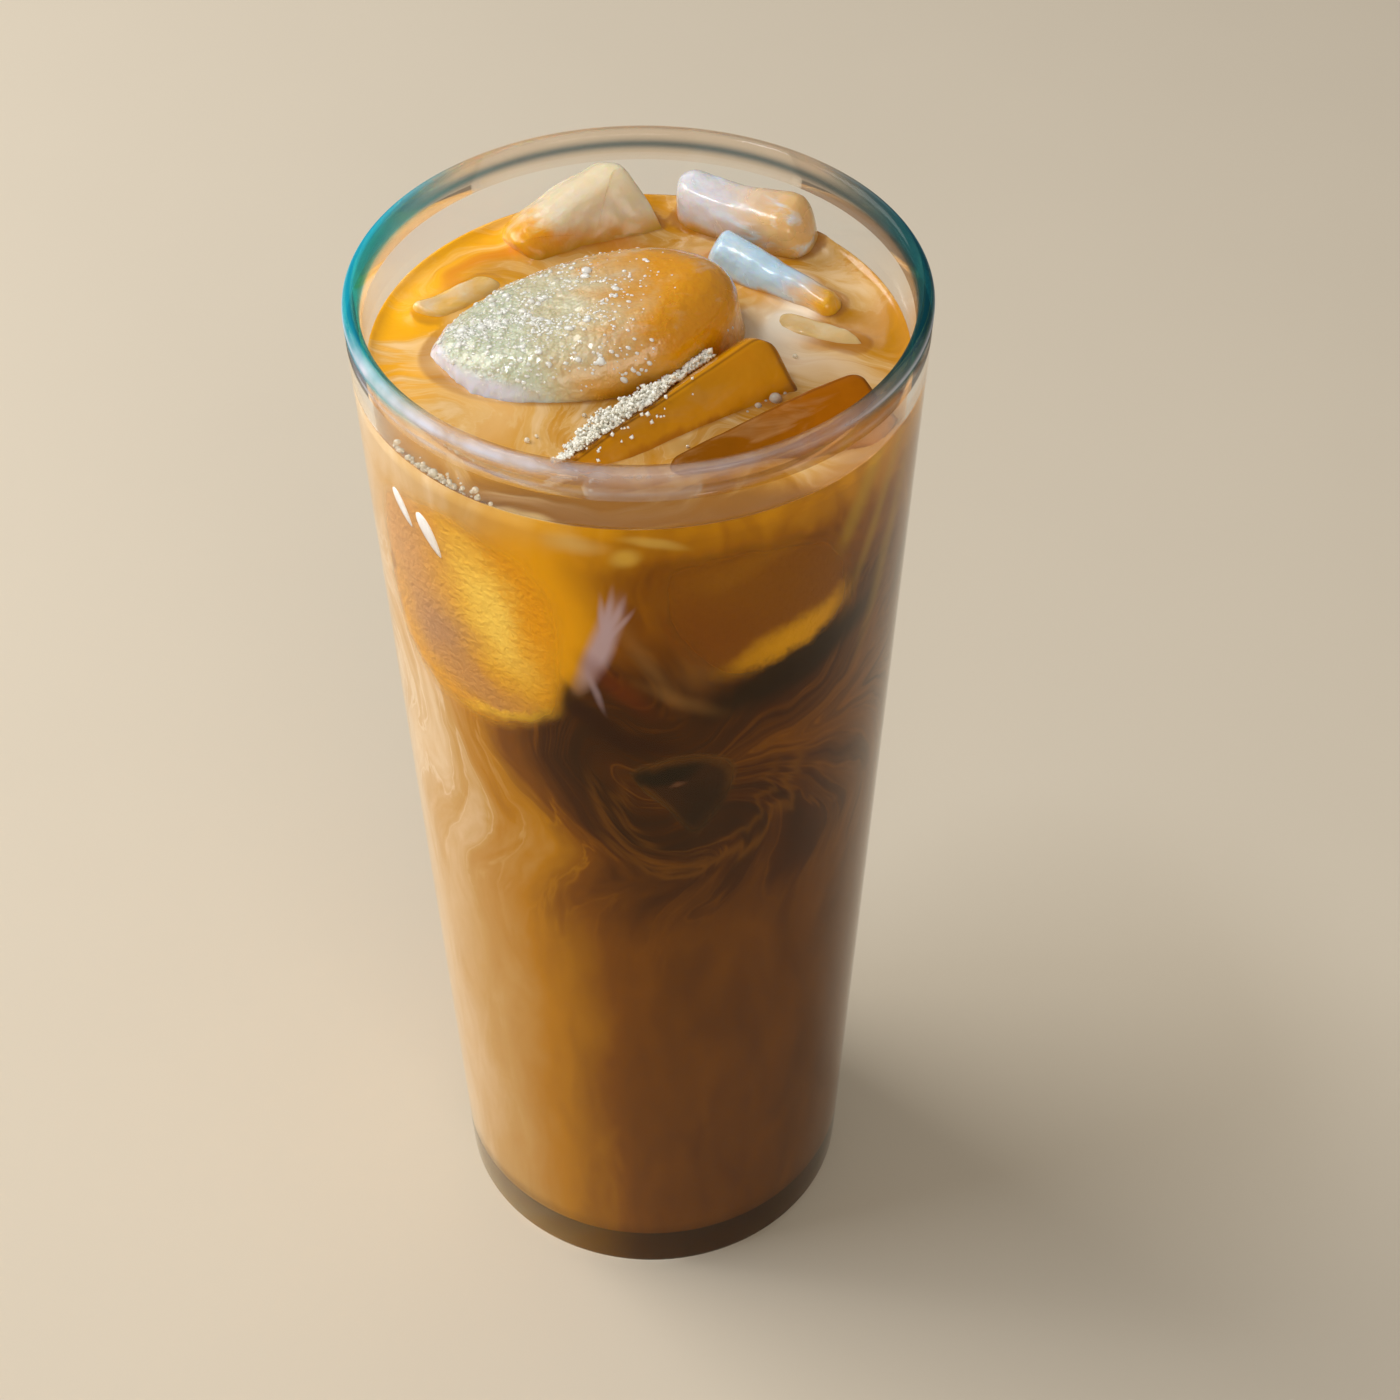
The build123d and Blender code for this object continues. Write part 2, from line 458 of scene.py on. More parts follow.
class Tree:
    """A node tree with short calls: each adds a node, wires what it is given and returns its output."""

    def __init__(self, tree, end):
        self.tree, self.end = tree, end

    def node(self, kind, wires=None, **settings):
        node = self.tree.nodes.new("ShaderNode" + kind)
        for key, value in settings.items():
            setattr(node, key, value)
        for key, value in (wires or {}).items():
            if value is None:
                continue
            socket = node.inputs[key]
            if isinstance(value, Value):
                self.tree.links.new(value.socket, socket)
                continue
            if hasattr(socket.default_value, "__len__"):
                value = tuple(value) + (1.0,) * (len(socket.default_value) - len(value))
            socket.default_value = value
        return node

    def put(self, kind, wires=None, output=0, **settings):
        return Value(self, self.node(kind, wires, **settings).outputs[output])

    def finish(self, value):
        self.tree.links.new(value.socket, self.end.inputs[0])

    def math(self, operation, a, b=None):
        return self.put("Math", {0: a, 1: b}, operation=operation)

    def vector(self, operation, a, b=None, scale=None):
        gives_number = operation in ("LENGTH", "DISTANCE")
        wires = {0: a, 1: b, "Scale": scale}
        return self.put("VectorMath", wires, "Value" if gives_number else "Vector", operation=operation)

    def split(self, vector):
        return [Value(self, part) for part in self.node("SeparateXYZ", {0: vector}).outputs]

    def join(self, x, y, z):
        return self.put("CombineXYZ", {0: x, 1: y, 2: z})

    def mix(self, share, a, b):
        return self.put("Mix", {0: share, 6: a, 7: b}, 2, data_type="RGBA")

    def layer(self, share, under, over):
        return self.put("MixShader", {0: share, 1: under, 2: over})

    def between(self, value, low, high, to_low=0.0, to_high=1.0, kind="SMOOTHSTEP"):
        """Value carried from low..high to to_low..to_high, eased and held at the ends."""
        wires = {"Value": value, "From Min": low, "From Max": high, "To Min": to_low, "To Max": to_high}
        return self.put("MapRange", wires, interpolation_type=kind)

    def ramp(self, value, stops, interpolation="LINEAR"):
        node = self.node("ValToRGB", {0: value})
        band = node.color_ramp
        band.interpolation = interpolation
        while len(band.elements) < len(stops):
            band.elements.new(0.5)
        for element, (place, colour) in zip(band.elements, stops):
            element.position = place
            element.color = (*colour, 1.0) if hasattr(colour, "__len__") else (colour, colour, colour, 1.0)
        return Value(self, node.outputs[0])

    def noise(self, vector, scale, detail=2.0, roughness=0.5, distortion=0.0, output="Fac"):
        wires = {"Vector": vector, "Scale": scale, "Detail": detail}
        wires.update({"Roughness": roughness, "Distortion": distortion})
        return self.put("TexNoise", wires, output)

    def drift(self, vector, scale, detail):
        """A noise of three values, each from -0.5 to 0.5."""
        return self.vector("SUBTRACT", self.noise(vector, scale, detail, output="Color"), (0.5, 0.5, 0.5))

    def cells(self, vector, scale, smoothness):
        wires = {"Vector": vector, "Scale": scale, "Smoothness": smoothness}
        return self.put("TexVoronoi", wires, "Distance", feature="SMOOTH_F1")

    def rotated(self, vector, angle, centre=None):
        wires = {"Vector": vector, "Center": centre, "Angle": angle}
        return self.put("VectorRotate", wires, rotation_type="Z_AXIS")

    def bell(self, away):
        """exp(-away^2): 1 at 0, fading both ways."""
        return self.math("EXPONENT", away * away * -1.0)

    def bump(self, height, distance, strength=1.0):
        return self.put("Bump", {"Height": height, "Distance": distance, "Strength": strength})

    def object_point(self):
        return self.put("TexCoord", output="Object")

    def millimetres(self):
        return self.object_point() * 1000.0

    def own(self, name, output="Vector"):
        return self.put("Attribute", output=output, attribute_name=name)

    def ray(self, kind):
        return self.put("LightPath", output=f"Is {kind} Ray")

    def use(self, name, **wires):
        return self.put("Group", wires, node_tree=bpy.data.node_groups[name])


def new_group(name, inputs, output, kind):
    """A shader node group of named inputs and one output; returns its Tree and its inputs' values."""
    tree = bpy.data.node_groups.new(name, "ShaderNodeTree")
    for label, default in inputs.items():
        is_number = isinstance(default, float)
        socket_type = "NodeSocketFloat" if is_number else "NodeSocketVector"
        tree.interface.new_socket(label, in_out="INPUT", socket_type=socket_type).default_value = default
    tree.interface.new_socket(output, in_out="OUTPUT", socket_type="NodeSocket" + kind)
    t = Tree(tree, tree.nodes.new("NodeGroupOutput"))
    entry = tree.nodes.new("NodeGroupInput")
    return t, [Value(t, entry.outputs[label]) for label in inputs]


NOWHERE = (0.0, 0.0, 0.0)


def build_groups():
    """The effects that several materials share."""
    # Unroll: a point of the drink's side as (distance round from the front, height), in millimetres.
    t, (point,) = new_group("Unroll", {"Point": NOWHERE}, "Wall", "Vector")
    x, y, z = t.split(point * 1000.0)
    t.finish(t.join(t.math("ARCTAN2", x, y * -1.0) * UNROLL_RADIUS, z, 0.0))

    # Roll: the same point back in space, so that a pattern has no seam at the back.
    t, (wall,) = new_group("Roll", {"Wall": NOWHERE}, "Point", "Vector")
    around, z, _ = t.split(wall)
    angle = around / UNROLL_RADIUS
    t.finish(t.join(t.math("SINE", angle) * UNROLL_RADIUS, t.math("COSINE", angle) * -UNROLL_RADIUS, z))

    # Swirl: turns the pattern about a centre by Turn times exp(-(distance / radius)^2).
    inputs = {"Vector": NOWHERE, "Centre": NOWHERE, "Radius": 10.0, "Turn": 1.0}
    t, (point, centre, radius, amount) = new_group("Swirl", inputs, "Vector", "Vector")
    fade = t.bell(t.vector("DISTANCE", point, centre) / radius)
    t.finish(t.rotated(point, fade * amount, centre))

    # Blot: a soft oval patch: 1 inside, 0 outside, eased over Edge.
    inputs = {"Vector": NOWHERE, "Centre": NOWHERE, "Size": WHITE, "Tilt": 0.0, "Edge": 0.4}
    t, (point, centre, reach, tilt, edge) = new_group("Blot", inputs, "Mask", "Float")
    away = t.vector("LENGTH", t.rotated(point - centre, tilt * -1.0) / reach)
    t.finish(t.between(away, 1.0 - edge, 1.0 + edge, 1.0, 0.0))

    # Streaks: drawn-out cream, a noise bent by a slower one.
    t, (point, scale, bend) = new_group(
        "Streaks", {"Point": NOWHERE, "Scale": 0.1, "Bend": 1.0}, "Streak", "Float"
    )
    bent = point + t.drift(point, scale * 0.45, 1.0) * (bend / scale)
    t.finish(t.noise(bent, scale, 5.0, 0.55, 0.6))

    # Ridges: thin lines where a value crosses its middle, as the edges of cream folded into coffee.
    t, (value, middle, width) = new_group(
        "Ridges", {"Value": 0.5, "Middle": 0.5, "Width": 0.03}, "Line", "Float"
    )
    t.finish(t.bell(abs(value - middle) / width))

    # Frost: small rounded lumps, larger ones among smaller ones.
    t, (point, scale) = new_group("Frost", {"Point": NOWHERE, "Scale": 1.0}, "Height", "Float")
    t.finish(t.cells(point, scale, 0.6) * -1.0 + t.cells(point, scale * 2.3, 0.5) * -0.45)


def new_material(name):
    """A material with an empty tree; returns it and its Tree."""
    material = bpy.data.materials.new(name)
    material.use_nodes = True
    tree = material.node_tree
    tree.nodes.clear()
    return material, Tree(tree, tree.nodes.new("ShaderNodeOutputMaterial"))


def degrees_round(angle):
    """Distance round the wall from the front, in millimetres, of an angle in degrees."""
    return math.radians(angle) * UNROLL_RADIUS


def wall_blots(t, colour, wall, blots):
    """Soft ovals of other colours on the unrolled wall, some of them painted glow, highlights and shade."""
    for angle, z, wide, tall, tilt, edge, shade, share in blots:
        centre, reach = (degrees_round(angle), z, 0.0), (wide, tall, 1.0)
        mask = t.use("Blot", Vector=wall, Centre=centre, Size=reach, Tilt=math.radians(tilt), Edge=edge)
        colour = t.mix(mask * share, colour, shade)
    return colour


# ------------------------------------------------------------------ materials
GLASS_IOR, DRINK_IOR, ICE_IOR = 1.45, 1.33, 1.31


def finish_glass(t, surface):
    """Ends a glass material, with lamps shining straight through it."""
    t.finish(t.layer(t.ray("Shadow"), surface, t.put("BsdfTransparent", {"Color": WHITE})))


def glass_material(glass):
    """The clear wall, faintly smeared, with a little green in its thick base."""
    material, t = new_material("clear_glass")
    point = t.millimetres()
    wall = t.mix(t.noise(point, 0.05), WHITE, (0.985, 0.995, 0.99))
    low = t.between(t.split(point)[2], glass.base_thickness + 1.0, glass.base_thickness - 1.0)
    wires = {
        "Base Color": t.mix(low, wall, glass.base_tint),
        "Roughness": 0.0,
        "IOR": GLASS_IOR,
        "Transmission Weight": 1.0,
        "Specular Tint": (0.55, 0.36, 0.1),
    }
    finish_glass(t, t.put("BsdfPrincipled", wires))
    return material


def lip_material(glass):
    """The rolled lip: partly seen straight through, teal at its flanks, with painted light: the teal light at the
    left and dark at the right, a painted dark line inside its back, and painted pale gleams round its front.
    """
    material, t = new_material("lip_glass")
    rim, top = glass.rim_radius, glass.height
    point = t.millimetres()
    x, y, z = t.split(point)
    radius = t.math("SQRT", x * x + y * y)
    flank = t.between(abs(x), 0.6 * rim, 0.93 * rim) * t.between(z, top - 2.6, top - 1.2)
    # Painted light: the flanks' teal is light at the left, where the light comes from, and dark at the right, in
    # shade.
    rightward = t.between(x, -10.0, 10.0)
    teal = t.mix(rightward, (0.02, 0.70, 1.0), (0.02, 0.26, 0.36))
    clear = t.mix(t.between(y, -20.0, 20.0), (0.96, 0.95, 0.98), (0.94, 0.87, 0.79))
    inside = t.between(radius, rim - 0.4 * glass.wall, rim - 0.7 * glass.wall)
    # Painted shade: a dark line inside the back of the lip, light teal at the far left.
    dark_line = t.use("Ridges", Value=z, Middle=top - 1.9, Width=0.75) * inside * t.between(y, -24.0, 4.0)
    dark = t.mix(t.between(x, -34.0, -16.0), (0.01, 0.52, 0.80), (0.01, 0.10, 0.16))
    tinted = t.mix(dark_line * 0.85, t.mix(flank, clear, teal), dark)
    wires = {"Base Color": tinted, "Roughness": 0.0, "IOR": GLASS_IOR, "Transmission Weight": 1.0}
    bent = t.put("BsdfPrincipled", wires)
    seen = t.layer(0.6, bent, t.put("BsdfTransparent", {"Color": tinted}))
    # Painted glow: a diffuse teal layer on the flanks, light at the left, near black at the right and inwards.
    painted_glow = t.mix(rightward, (0.01, 0.50, 0.72), (0.0, 0.08, 0.11))
    painted_glow = t.mix(t.between(radius, rim - 0.9, rim - 1.7) * 0.85, painted_glow, (0.0, 0.05, 0.07))
    seen = t.layer(flank * 0.45, seen, t.put("BsdfDiffuse", {"Color": painted_glow}))
    # Painted reflections: pale lilac gleams, a diffuse layer, run round the front of the lip, strongest at the
    # left, and thinly along its flanks.
    outside = t.between(radius, rim - 1.2, rim - 0.7)
    patchy = t.between(t.noise(point * (1.0, 1.0, 0.2), 0.16, 3.0), 0.34, 0.66, 0.35, 1.0)
    crown = t.use("Ridges", Value=z, Middle=top - 0.75, Width=0.7) * outside
    shoulder = t.use("Ridges", Value=z, Middle=top - 3.3, Width=0.42) * 0.5
    painted_gleams = t.math("MAXIMUM", crown, shoulder) * t.between(y, -8.0, -17.0)
    painted_gleams = painted_gleams * (patchy * t.between(x, 14.0, -24.0, 0.3, 1.0))
    edge = t.use("Ridges", Value=z, Middle=top - 0.85, Width=0.32) * outside
    painted_gleams = t.math("MAXIMUM", painted_gleams, edge * t.between(abs(x), 20.0, 32.0, 0.1, 0.6))
    finish_glass(t, t.layer(painted_gleams, seen, t.put("BsdfDiffuse", {"Color": srgb(226, 228, 244)})))
    return material


def palette(t, drink, cream):
    """Coffee from nearly black to nearly white as the share of cream goes from 0 to 1."""
    shades = (drink.espresso, drink.coffee, drink.amber, drink.gold, drink.caramel, drink.cream)
    return t.ramp(cream, list(zip((0.0, 0.2, 0.42, 0.64, 0.8, 1.0), shades)))


WALL_SWIRLS = [
    # angle, height, radius, turn
    (-2, 119, 10, 1.5),
    (14, 104, 12, -1.9),
    (34, 118, 10, 1.3),
    (-26, 108, 13, -0.6),
    (-40, 90, 14, 0.35),
    (48, 100, 13, -1.2),
    (70, 125, 14, 1.6),
    (-75, 122, 13, -1.4),
    (110, 112, 16, 1.8),
    (-112, 108, 16, -1.7),
    (150, 125, 8, 1.5),
    (-150, 122, 8, -1.5),
    (158, 96, 6, 1.6),
    (-158, 104, 6, -1.5),
]
# The share of cream from the left side to the right: low on the wall, high on it, and at the drink's level. The
# cream at the left and the dark at the right are partly painted light and shade, from the light at the left.
LOW_CREAM = [
    (0.0, 0.9), (0.11, 0.83), (0.2, 0.75), (0.29, 0.62), (0.37, 0.5), (0.46, 0.39), (0.56, 0.31),
    (0.92, 0.28), (1.0, 0.4),
]
HIGH_CREAM = [
    (0.0, 0.9), (0.12, 0.82), (0.2, 0.64), (0.3, 0.38), (0.38, 0.26), (0.46, 0.14), (0.58, 0.1), (0.8, 0.2),
    (1.0, 0.34),
]
TOP_CREAM = [
    (0.0, 0.84), (0.2, 0.76), (0.3, 0.68), (0.4, 0.6), (0.5, 0.46), (0.8, 0.44), (0.95, 0.52), (1.0, 0.56)
]
SKIN_SHADE = -0.1       # what the skin at the drink's level has less of cream
WALL_BLOTS = [
    # angle, height, half width, half height, tilt, edge, colour, share
    # Painted glow: gold where the light shines through the drink.
    (-21, 142, 5.5, 10.0, 8, 0.7, GOLD_GLOW, 0.9),
    (-16, 131, 3.2, 8.0, -16, 0.7, GOLD_GLOW, 0.8),
    (-17, 126, 1.3, 4.6, 38, 0.5, ESPRESSO_STREAK, 0.85),
    (-10, 120.5, 1.5, 4.6, 52, 0.5, ESPRESSO_STREAK, 0.9),
    (-1, 117, 4.5, 1.5, -8, 0.6, ESPRESSO_STREAK, 0.85),
    # Painted glow again, narrower.
    (-17, 130, 1.6, 7.0, -10, 0.8, GOLD_GLOW, 0.7),
    (-7.8, 133.6, 1.5, 6.6, -17, 0.6, LILAC, 0.95),
    (-7.2, 138.8, 0.4, 2.5, 2, 0.8, LILAC, 0.7),
    (-5.9, 139.2, 0.45, 2.9, -10, 0.8, LILAC, 0.8),
    (-4.6, 138.6, 0.45, 2.7, -22, 0.8, LILAC, 0.8),
    (-3.4, 137.6, 0.35, 2.2, -34, 0.8, LILAC, 0.65),
    (-9.0, 126.0, 0.4, 3.4, 14, 0.8, LILAC, 0.45),
    # Painted shadow: a near-black band under the right sunken ice.
    (36, 125.0, 12.5, 3.0, 15, 0.5, srgb(24, 8, 1), 0.95),
    (-2, 148, 1.6, 1.3, 38, 0.6, srgb(216, 176, 74), 0.6),
    (4, 150.5, 3.0, 0.7, -12, 0.7, srgb(206, 172, 84), 0.5),
    (-12, 150, 3.0, 1.2, -6, 0.8, srgb(214, 180, 110), 0.5),
    (50, 147, 1.2, 9.0, -24, 0.95, OLIVE_GOLD, 0.6),
    (57, 143, 0.9, 9.0, -20, 0.95, OLIVE_GOLD, 0.5),
    (63, 136, 1.2, 11.0, -14, 0.95, OLIVE_GOLD, 0.4),
    (2, 131.5, 1.0, 6.5, 24, 0.95, SMOKE, 0.28),
    (8.5, 124.6, 4.6, 0.9, -34, 0.95, SMOKE, 0.25),
    (13, 129.0, 2.6, 3.4, -12, 0.95, SMOKE, 0.18),
    (-4.5, 127.0, 1.4, 5.0, 40, 0.95, srgb(104, 36, 1), 0.6),
]
AMBER_RINGS = ((1.0, 0.07, 0.35), (0.74, 0.05, 0.25))       # reach, width, share
RINGS_MIDDLE, RINGS_REACH = (14, 108.0), (13.0, 15.0, 1.0)  # angle and height; how far out reach 1 is


def wall_material(drink):
    """The drink seen through the glass: cream at the left, dark amber at the right, marbled under the ice; the
    light left and dark right are partly painted light and shade, and some blots are painted glow and a painted
    shadow.
    """
    material, t = new_material("coffee_and_cream")
    wall = t.use("Unroll", Point=t.object_point())
    drift = t.drift(t.millimetres(), 0.05, 3.0) * (9.0, 13.0, 0.0)
    height = t.split(wall)[1]
    busy = t.between(height, 66.0, 100.0)
    bent = wall + drift * t.between(height, 60.0, 110.0, 0.35, 1.0)
    for angle, z, radius, amount in WALL_SWIRLS:
        bent = t.use("Swirl", Vector=bent, Centre=(degrees_round(angle), z, 0.0), Radius=radius, Turn=amount)
    rolled = t.use("Roll", Wall=bent)
    side = t.between(t.split(rolled)[0], -UNROLL_RADIUS, UNROLL_RADIUS, kind="LINEAR")
    low, high, light = (t.ramp(side, stops, "B_SPLINE") for stops in (LOW_CREAM, HIGH_CREAM, TOP_CREAM))
    bent_height = t.split(bent)[1]
    streaks = t.use("Streaks", Point=rolled * (1.0, 1.0, 0.28), Scale=0.16, Bend=0.9)
    fine = t.use("Streaks", Point=rolled * (1.0, 1.0, 0.4), Scale=0.34, Bend=1.4)
    swing = (streaks - 0.5) * t.between(busy, 0.0, 1.0, 0.2, 0.46)
    swing = swing + (fine - 0.5) * t.between(busy, 0.0, 1.0, 0.05, 0.15)
    lines = t.use("Ridges", Value=streaks, Middle=0.52, Width=0.016)
    cream = t.mix(t.between(bent_height, 72.0, 104.0), low, high) + swing + lines * (busy * 0.08)
    # The drink above the ice's lower edge is lighter, with a tan skin at its level.
    cream = t.mix(t.between(bent_height, 126.0, 138.0) * 0.85, cream, light + swing * 0.6)
    skin = t.between(height + fine * 6.0, 147.5, 153.0)
    cream = t.mix(skin, cream, light + SKIN_SHADE + streaks * 0.34)
    loose = wall + drift * 0.35
    colour = wall_blots(t, palette(t, drink, cream), loose, WALL_BLOTS)
    # Rings of amber under the small sunken piece, as cream rolls round it.
    angle, z = RINGS_MIDDLE
    from_low = loose - (degrees_round(angle), z, 0.0)
    reach = t.vector("LENGTH", from_low / RINGS_REACH) + (streaks - 0.5) * 0.9
    under = t.between(t.split(from_low)[1], 6.0, -3.0)
    for middle, width, share in AMBER_RINGS:
        ring_at = t.use("Ridges", Value=reach, Middle=middle, Width=width)
        colour = t.mix(ring_at * under * share, colour, srgb(140, 84, 10))
    wires = {"Base Color": colour, "Roughness": 0.5, "IOR": DRINK_IOR, "Specular IOR Level": 0.0}
    t.finish(t.put("BsdfPrincipled", wires))
    return material


SURFACE_SWIRLS = [
    # x, y, radius, turn
    (20, 8, 14, 1.6),
    (-20, 10, 12, -1.5),
    (-2, 20, 13, 1.3),
    (4, -22, 13, -1.4),
    (-18, -16, 11, 1.5),
    (26, -8, 9, -1.2),
]
SURFACE_BLOTS = [
    # x, y, half width, half depth, tilt, edge, colour, share
    (-10, -28.5, 5.0, 1.6, -14, 0.8, srgb(214, 180, 120), 0.7),
    # Painted glow: gold at the back left.
    (-22, 15, 8.0, 14.0, 30, 0.8, srgb(240, 170, 6), 0.7),
    (-10, 14, 10.0, 2.6, 25, 0.7, srgb(206, 124, 12), 0.75),
    (22, -6, 7.0, 2.2, 35, 0.7, srgb(170, 104, 24), 0.6),
    (26, 10, 3.0, 12.0, -20, 0.8, srgb(196, 140, 70), 0.5),
    (-24, -14, 7.0, 4.0, -35, 0.8, srgb(224, 186, 130), 0.5),
    (20, 9.0, 14.0, 2.4, -35, 0.8, srgb(238, 226, 204), 0.92),
    (25, 1.5, 7.5, 1.4, -30, 0.8, srgb(232, 214, 184), 0.75),
    (-27, 4, 2.4, 7.0, -20, 0.8, srgb(232, 206, 160), 0.6),
    (1, 20, 7.0, 1.6, 10, 0.8, srgb(196, 118, 14), 0.6),
]
BLOT_DEPTH = 40.0       # how far up and down a blot on the surface reaches


def surface_material(drink):
    """The top of the drink: cream folded in, with a painted golden glow at the left where the light comes
    through, tan at the right, and painted shade beside the ice.
    """
    material, t = new_material("coffee_surface")
    point = t.millimetres()
    bent = point + t.drift(point, 0.07, 2.0) * (12.0, 12.0, 0.0)
    for x, y, radius, amount in SURFACE_SWIRLS:
        bent = t.use("Swirl", Vector=bent, Centre=(x, y, DRINK_LEVEL), Radius=radius, Turn=amount)
    streaks = t.use("Streaks", Point=bent * (0.5, 1.0, 1.0), Scale=0.13, Bend=1.2)
    fine = t.use("Streaks", Point=bent * (0.6, 1.0, 1.0), Scale=0.3, Bend=1.0)
    x, y, _ = t.split(bent)
    cream = t.between(streaks, 0.34, 0.68, 0.62, 0.88) + (fine - 0.5) * 0.08
    colour = palette(t, drink, cream)
    # Painted glow: gold towards the left, where the light comes through the drink.
    painted_glow = t.between(y * 0.35 - x, 8.0, 34.0) * t.between(streaks, 0.4, 0.62, 0.85, 0.1)
    colour = t.mix(painted_glow, colour, srgb(228, 160, 6))
    lines = t.use("Ridges", Value=streaks, Middle=0.5, Width=0.012)
    colour = t.mix(lines * 0.2, colour, PALE_CREAM)
    # Painted shade: darker brown where the drink meets the ice.
    painted_shade_by_ice = t.between(t.own("near_ice", "Fac"), 0.62, 1.0)
    colour = t.mix(painted_shade_by_ice * 0.6, colour, srgb(150, 88, 16))
    # Darker towards the front wall.
    radius = t.vector("LENGTH", point * (1.0, 1.0, 0.0))
    front = t.split(point)[1] + (streaks - 0.5) * 9.0
    shore = t.between(radius, 28.0, 33.0) * t.between(front, 4.0, -14.0)
    colour = t.mix(shore * 0.75, colour, srgb(164, 102, 26))
    colour = t.mix(t.between(front, -22.0, -28.0) * 0.85, colour, srgb(120, 72, 18))
    for x, y, wide, deep, tilt, edge, shade, share in SURFACE_BLOTS:
        centre, reach = (x, y, DRINK_LEVEL), (wide, deep, BLOT_DEPTH)
        mask = t.use("Blot", Vector=bent, Centre=centre, Size=reach, Tilt=math.radians(tilt), Edge=edge)
        colour = t.mix(mask * share, colour, shade)
    wires = {
        "Base Color": colour,
        "Roughness": 0.16,
        "IOR": DRINK_IOR,
        "Specular IOR Level": 0.5,
        "Coat Weight": 0.4,
        "Coat Roughness": 0.03,
        "Normal": t.bump(streaks, 0.0006, 0.5),
    }
    t.finish(t.put("BsdfPrincipled", wires))
    return material


def ice_material(name, looks):
    """Ice tinted by the drink.

    One colour fades to another along the block, wetter and darker at the drink, with milky veins and frost.
    """
    material, t = new_material(name)
    local = t.own("local")
    along, across, _ = t.split(t.own("share"))
    above = t.split(t.millimetres())[2] - DRINK_LEVEL
    cloud = t.noise(local, 0.16, 4.0, 0.55, 0.8)
    swing = cloud - 0.5
    colour = t.mix(t.between(along + swing * 0.5, *looks["fade"]), looks["start"], looks["end"])
    veins = t.use("Streaks", Point=local * (0.35, 1.0, 1.0), Scale=0.35, Bend=1.2)
    colour = t.mix(t.between(veins, 0.5, 0.72) * looks["milk"], colour, looks["vein"])
    dry = t.between(above + swing * 3.0, 0.2, looks["wet"])
    dry = t.math("MAXIMUM", dry, t.between(along, 0.55, 0.3) * looks["tip"])
    colour = t.mix(dry, looks["foot"], colour)
    for place, side in ((0.978, along), (0.035, across), (0.965, across)):
        line_at = t.use("Ridges", Value=side, Middle=place, Width=0.012)
        colour = t.mix(line_at * looks["lined"], colour, srgb(96, 48, 4))
    tip = t.between(along, 0.4, 0.2) * t.between(above, 3.2, 1.6) * looks["tip"]
    colour = t.mix(tip, colour, srgb(226, 222, 230))
    frosted = t.between(along, 0.75, 0.15, 0.25, 1.0) * (1.0 - tip) * looks["frost"]
    height = t.noise(local, 0.3, 2.0) * 0.6 + t.use("Frost", Point=local, Scale=0.95) * frosted
    wires = {
        "Base Color": colour,
        "Roughness": t.between(cloud, 0.3, 0.7, looks["rough"] * 0.7, looks["rough"] * 1.5),
        "IOR": ICE_IOR,
        "Specular IOR Level": looks["gloss"],
        "Transmission Weight": looks["clear"],
        "Subsurface Weight": looks["soft"],
        "Subsurface Radius": (1.0, 0.6, 0.3),
        "Subsurface Scale": 0.003,
        "Coat Weight": looks["coat"],
        "Coat Roughness": looks["sheen"],
        "Normal": t.bump(height, 0.0008, 0.8),
    }
    t.finish(t.put("BsdfPrincipled", wires))
    return material


def sunken_material(name, shades):
    """Ice pressed against the glass under the drink: coloured from middle to edge, with soft patches, some of
    them painted highlights, glow and shade.
    """
    material, t = new_material(name)
    bumpy = shades["bumpy"]
    wall = t.use("Unroll", Point=t.object_point())
    share = t.split(t.own("share"))[0]
    point = t.millimetres()
    cloud = t.noise(point, 0.12, 3.0, 0.5, 0.6)
    loose = wall + t.drift(point, 0.16, 3.0) * (5.0, 5.0, 0.0)
    loose = loose + t.drift(point, 1.3, 1.0) * (bumpy, bumpy, 0.0)
    ring = share + (cloud - 0.5) * 0.12
    ragged = share + (t.noise(point, 0.2, 2.0) - 0.5) * 0.12
    # Lamps and light from all round pass it, so that it leaves no shadow in the drink.
    seen = 1.0 - t.math("MAXIMUM", t.ray("Shadow"), t.ray("Diffuse"))
    wires = {
        "Base Color": wall_blots(t, t.ramp(ring, shades["ring"], "EASE"), loose, shades["patches"]),
        "Roughness": t.between(cloud, 0.3, 0.7, 0.3, 0.5),
        "IOR": DRINK_IOR,
        "Specular IOR Level": 0.05,
        "Alpha": t.between(ragged, shades["fade"], 0.9, 1.0, 0.0) * seen,
        "Normal": t.bump(t.noise(point, 1.1, 2.0, 0.5, 0.3), 0.0006, min(1.0, 0.3 + 0.2 * bumpy)),
    }
    t.finish(t.put("BsdfPrincipled", wires))
    return material


def plain_material(name, scale, detail, shades, **wires):
    """A material in two shades, mottled by a noise, with its other values given by name."""
    material, t = new_material(name)
    colour = t.mix(t.noise(t.millimetres(), scale, detail), *shades)
    wires = {"Base Color": colour, **{key.replace("_", " "): value for key, value in wires.items()}}
    t.finish(t.put("BsdfPrincipled", wires))
    return material


def bead_material(name, shade, clear, rough=0.05):
    """A small wet bead of one shade, mottled a little lighter."""
    lighter = tuple(min(1.0, 1.15 * c) for c in shade)
    return plain_material(
        name, 0.6, 2.0, (shade, lighter),
        Roughness=rough, IOR=ICE_IOR, Transmission_Weight=clear, Coat_Weight=0.5, Coat_Roughness=0.02,
    )


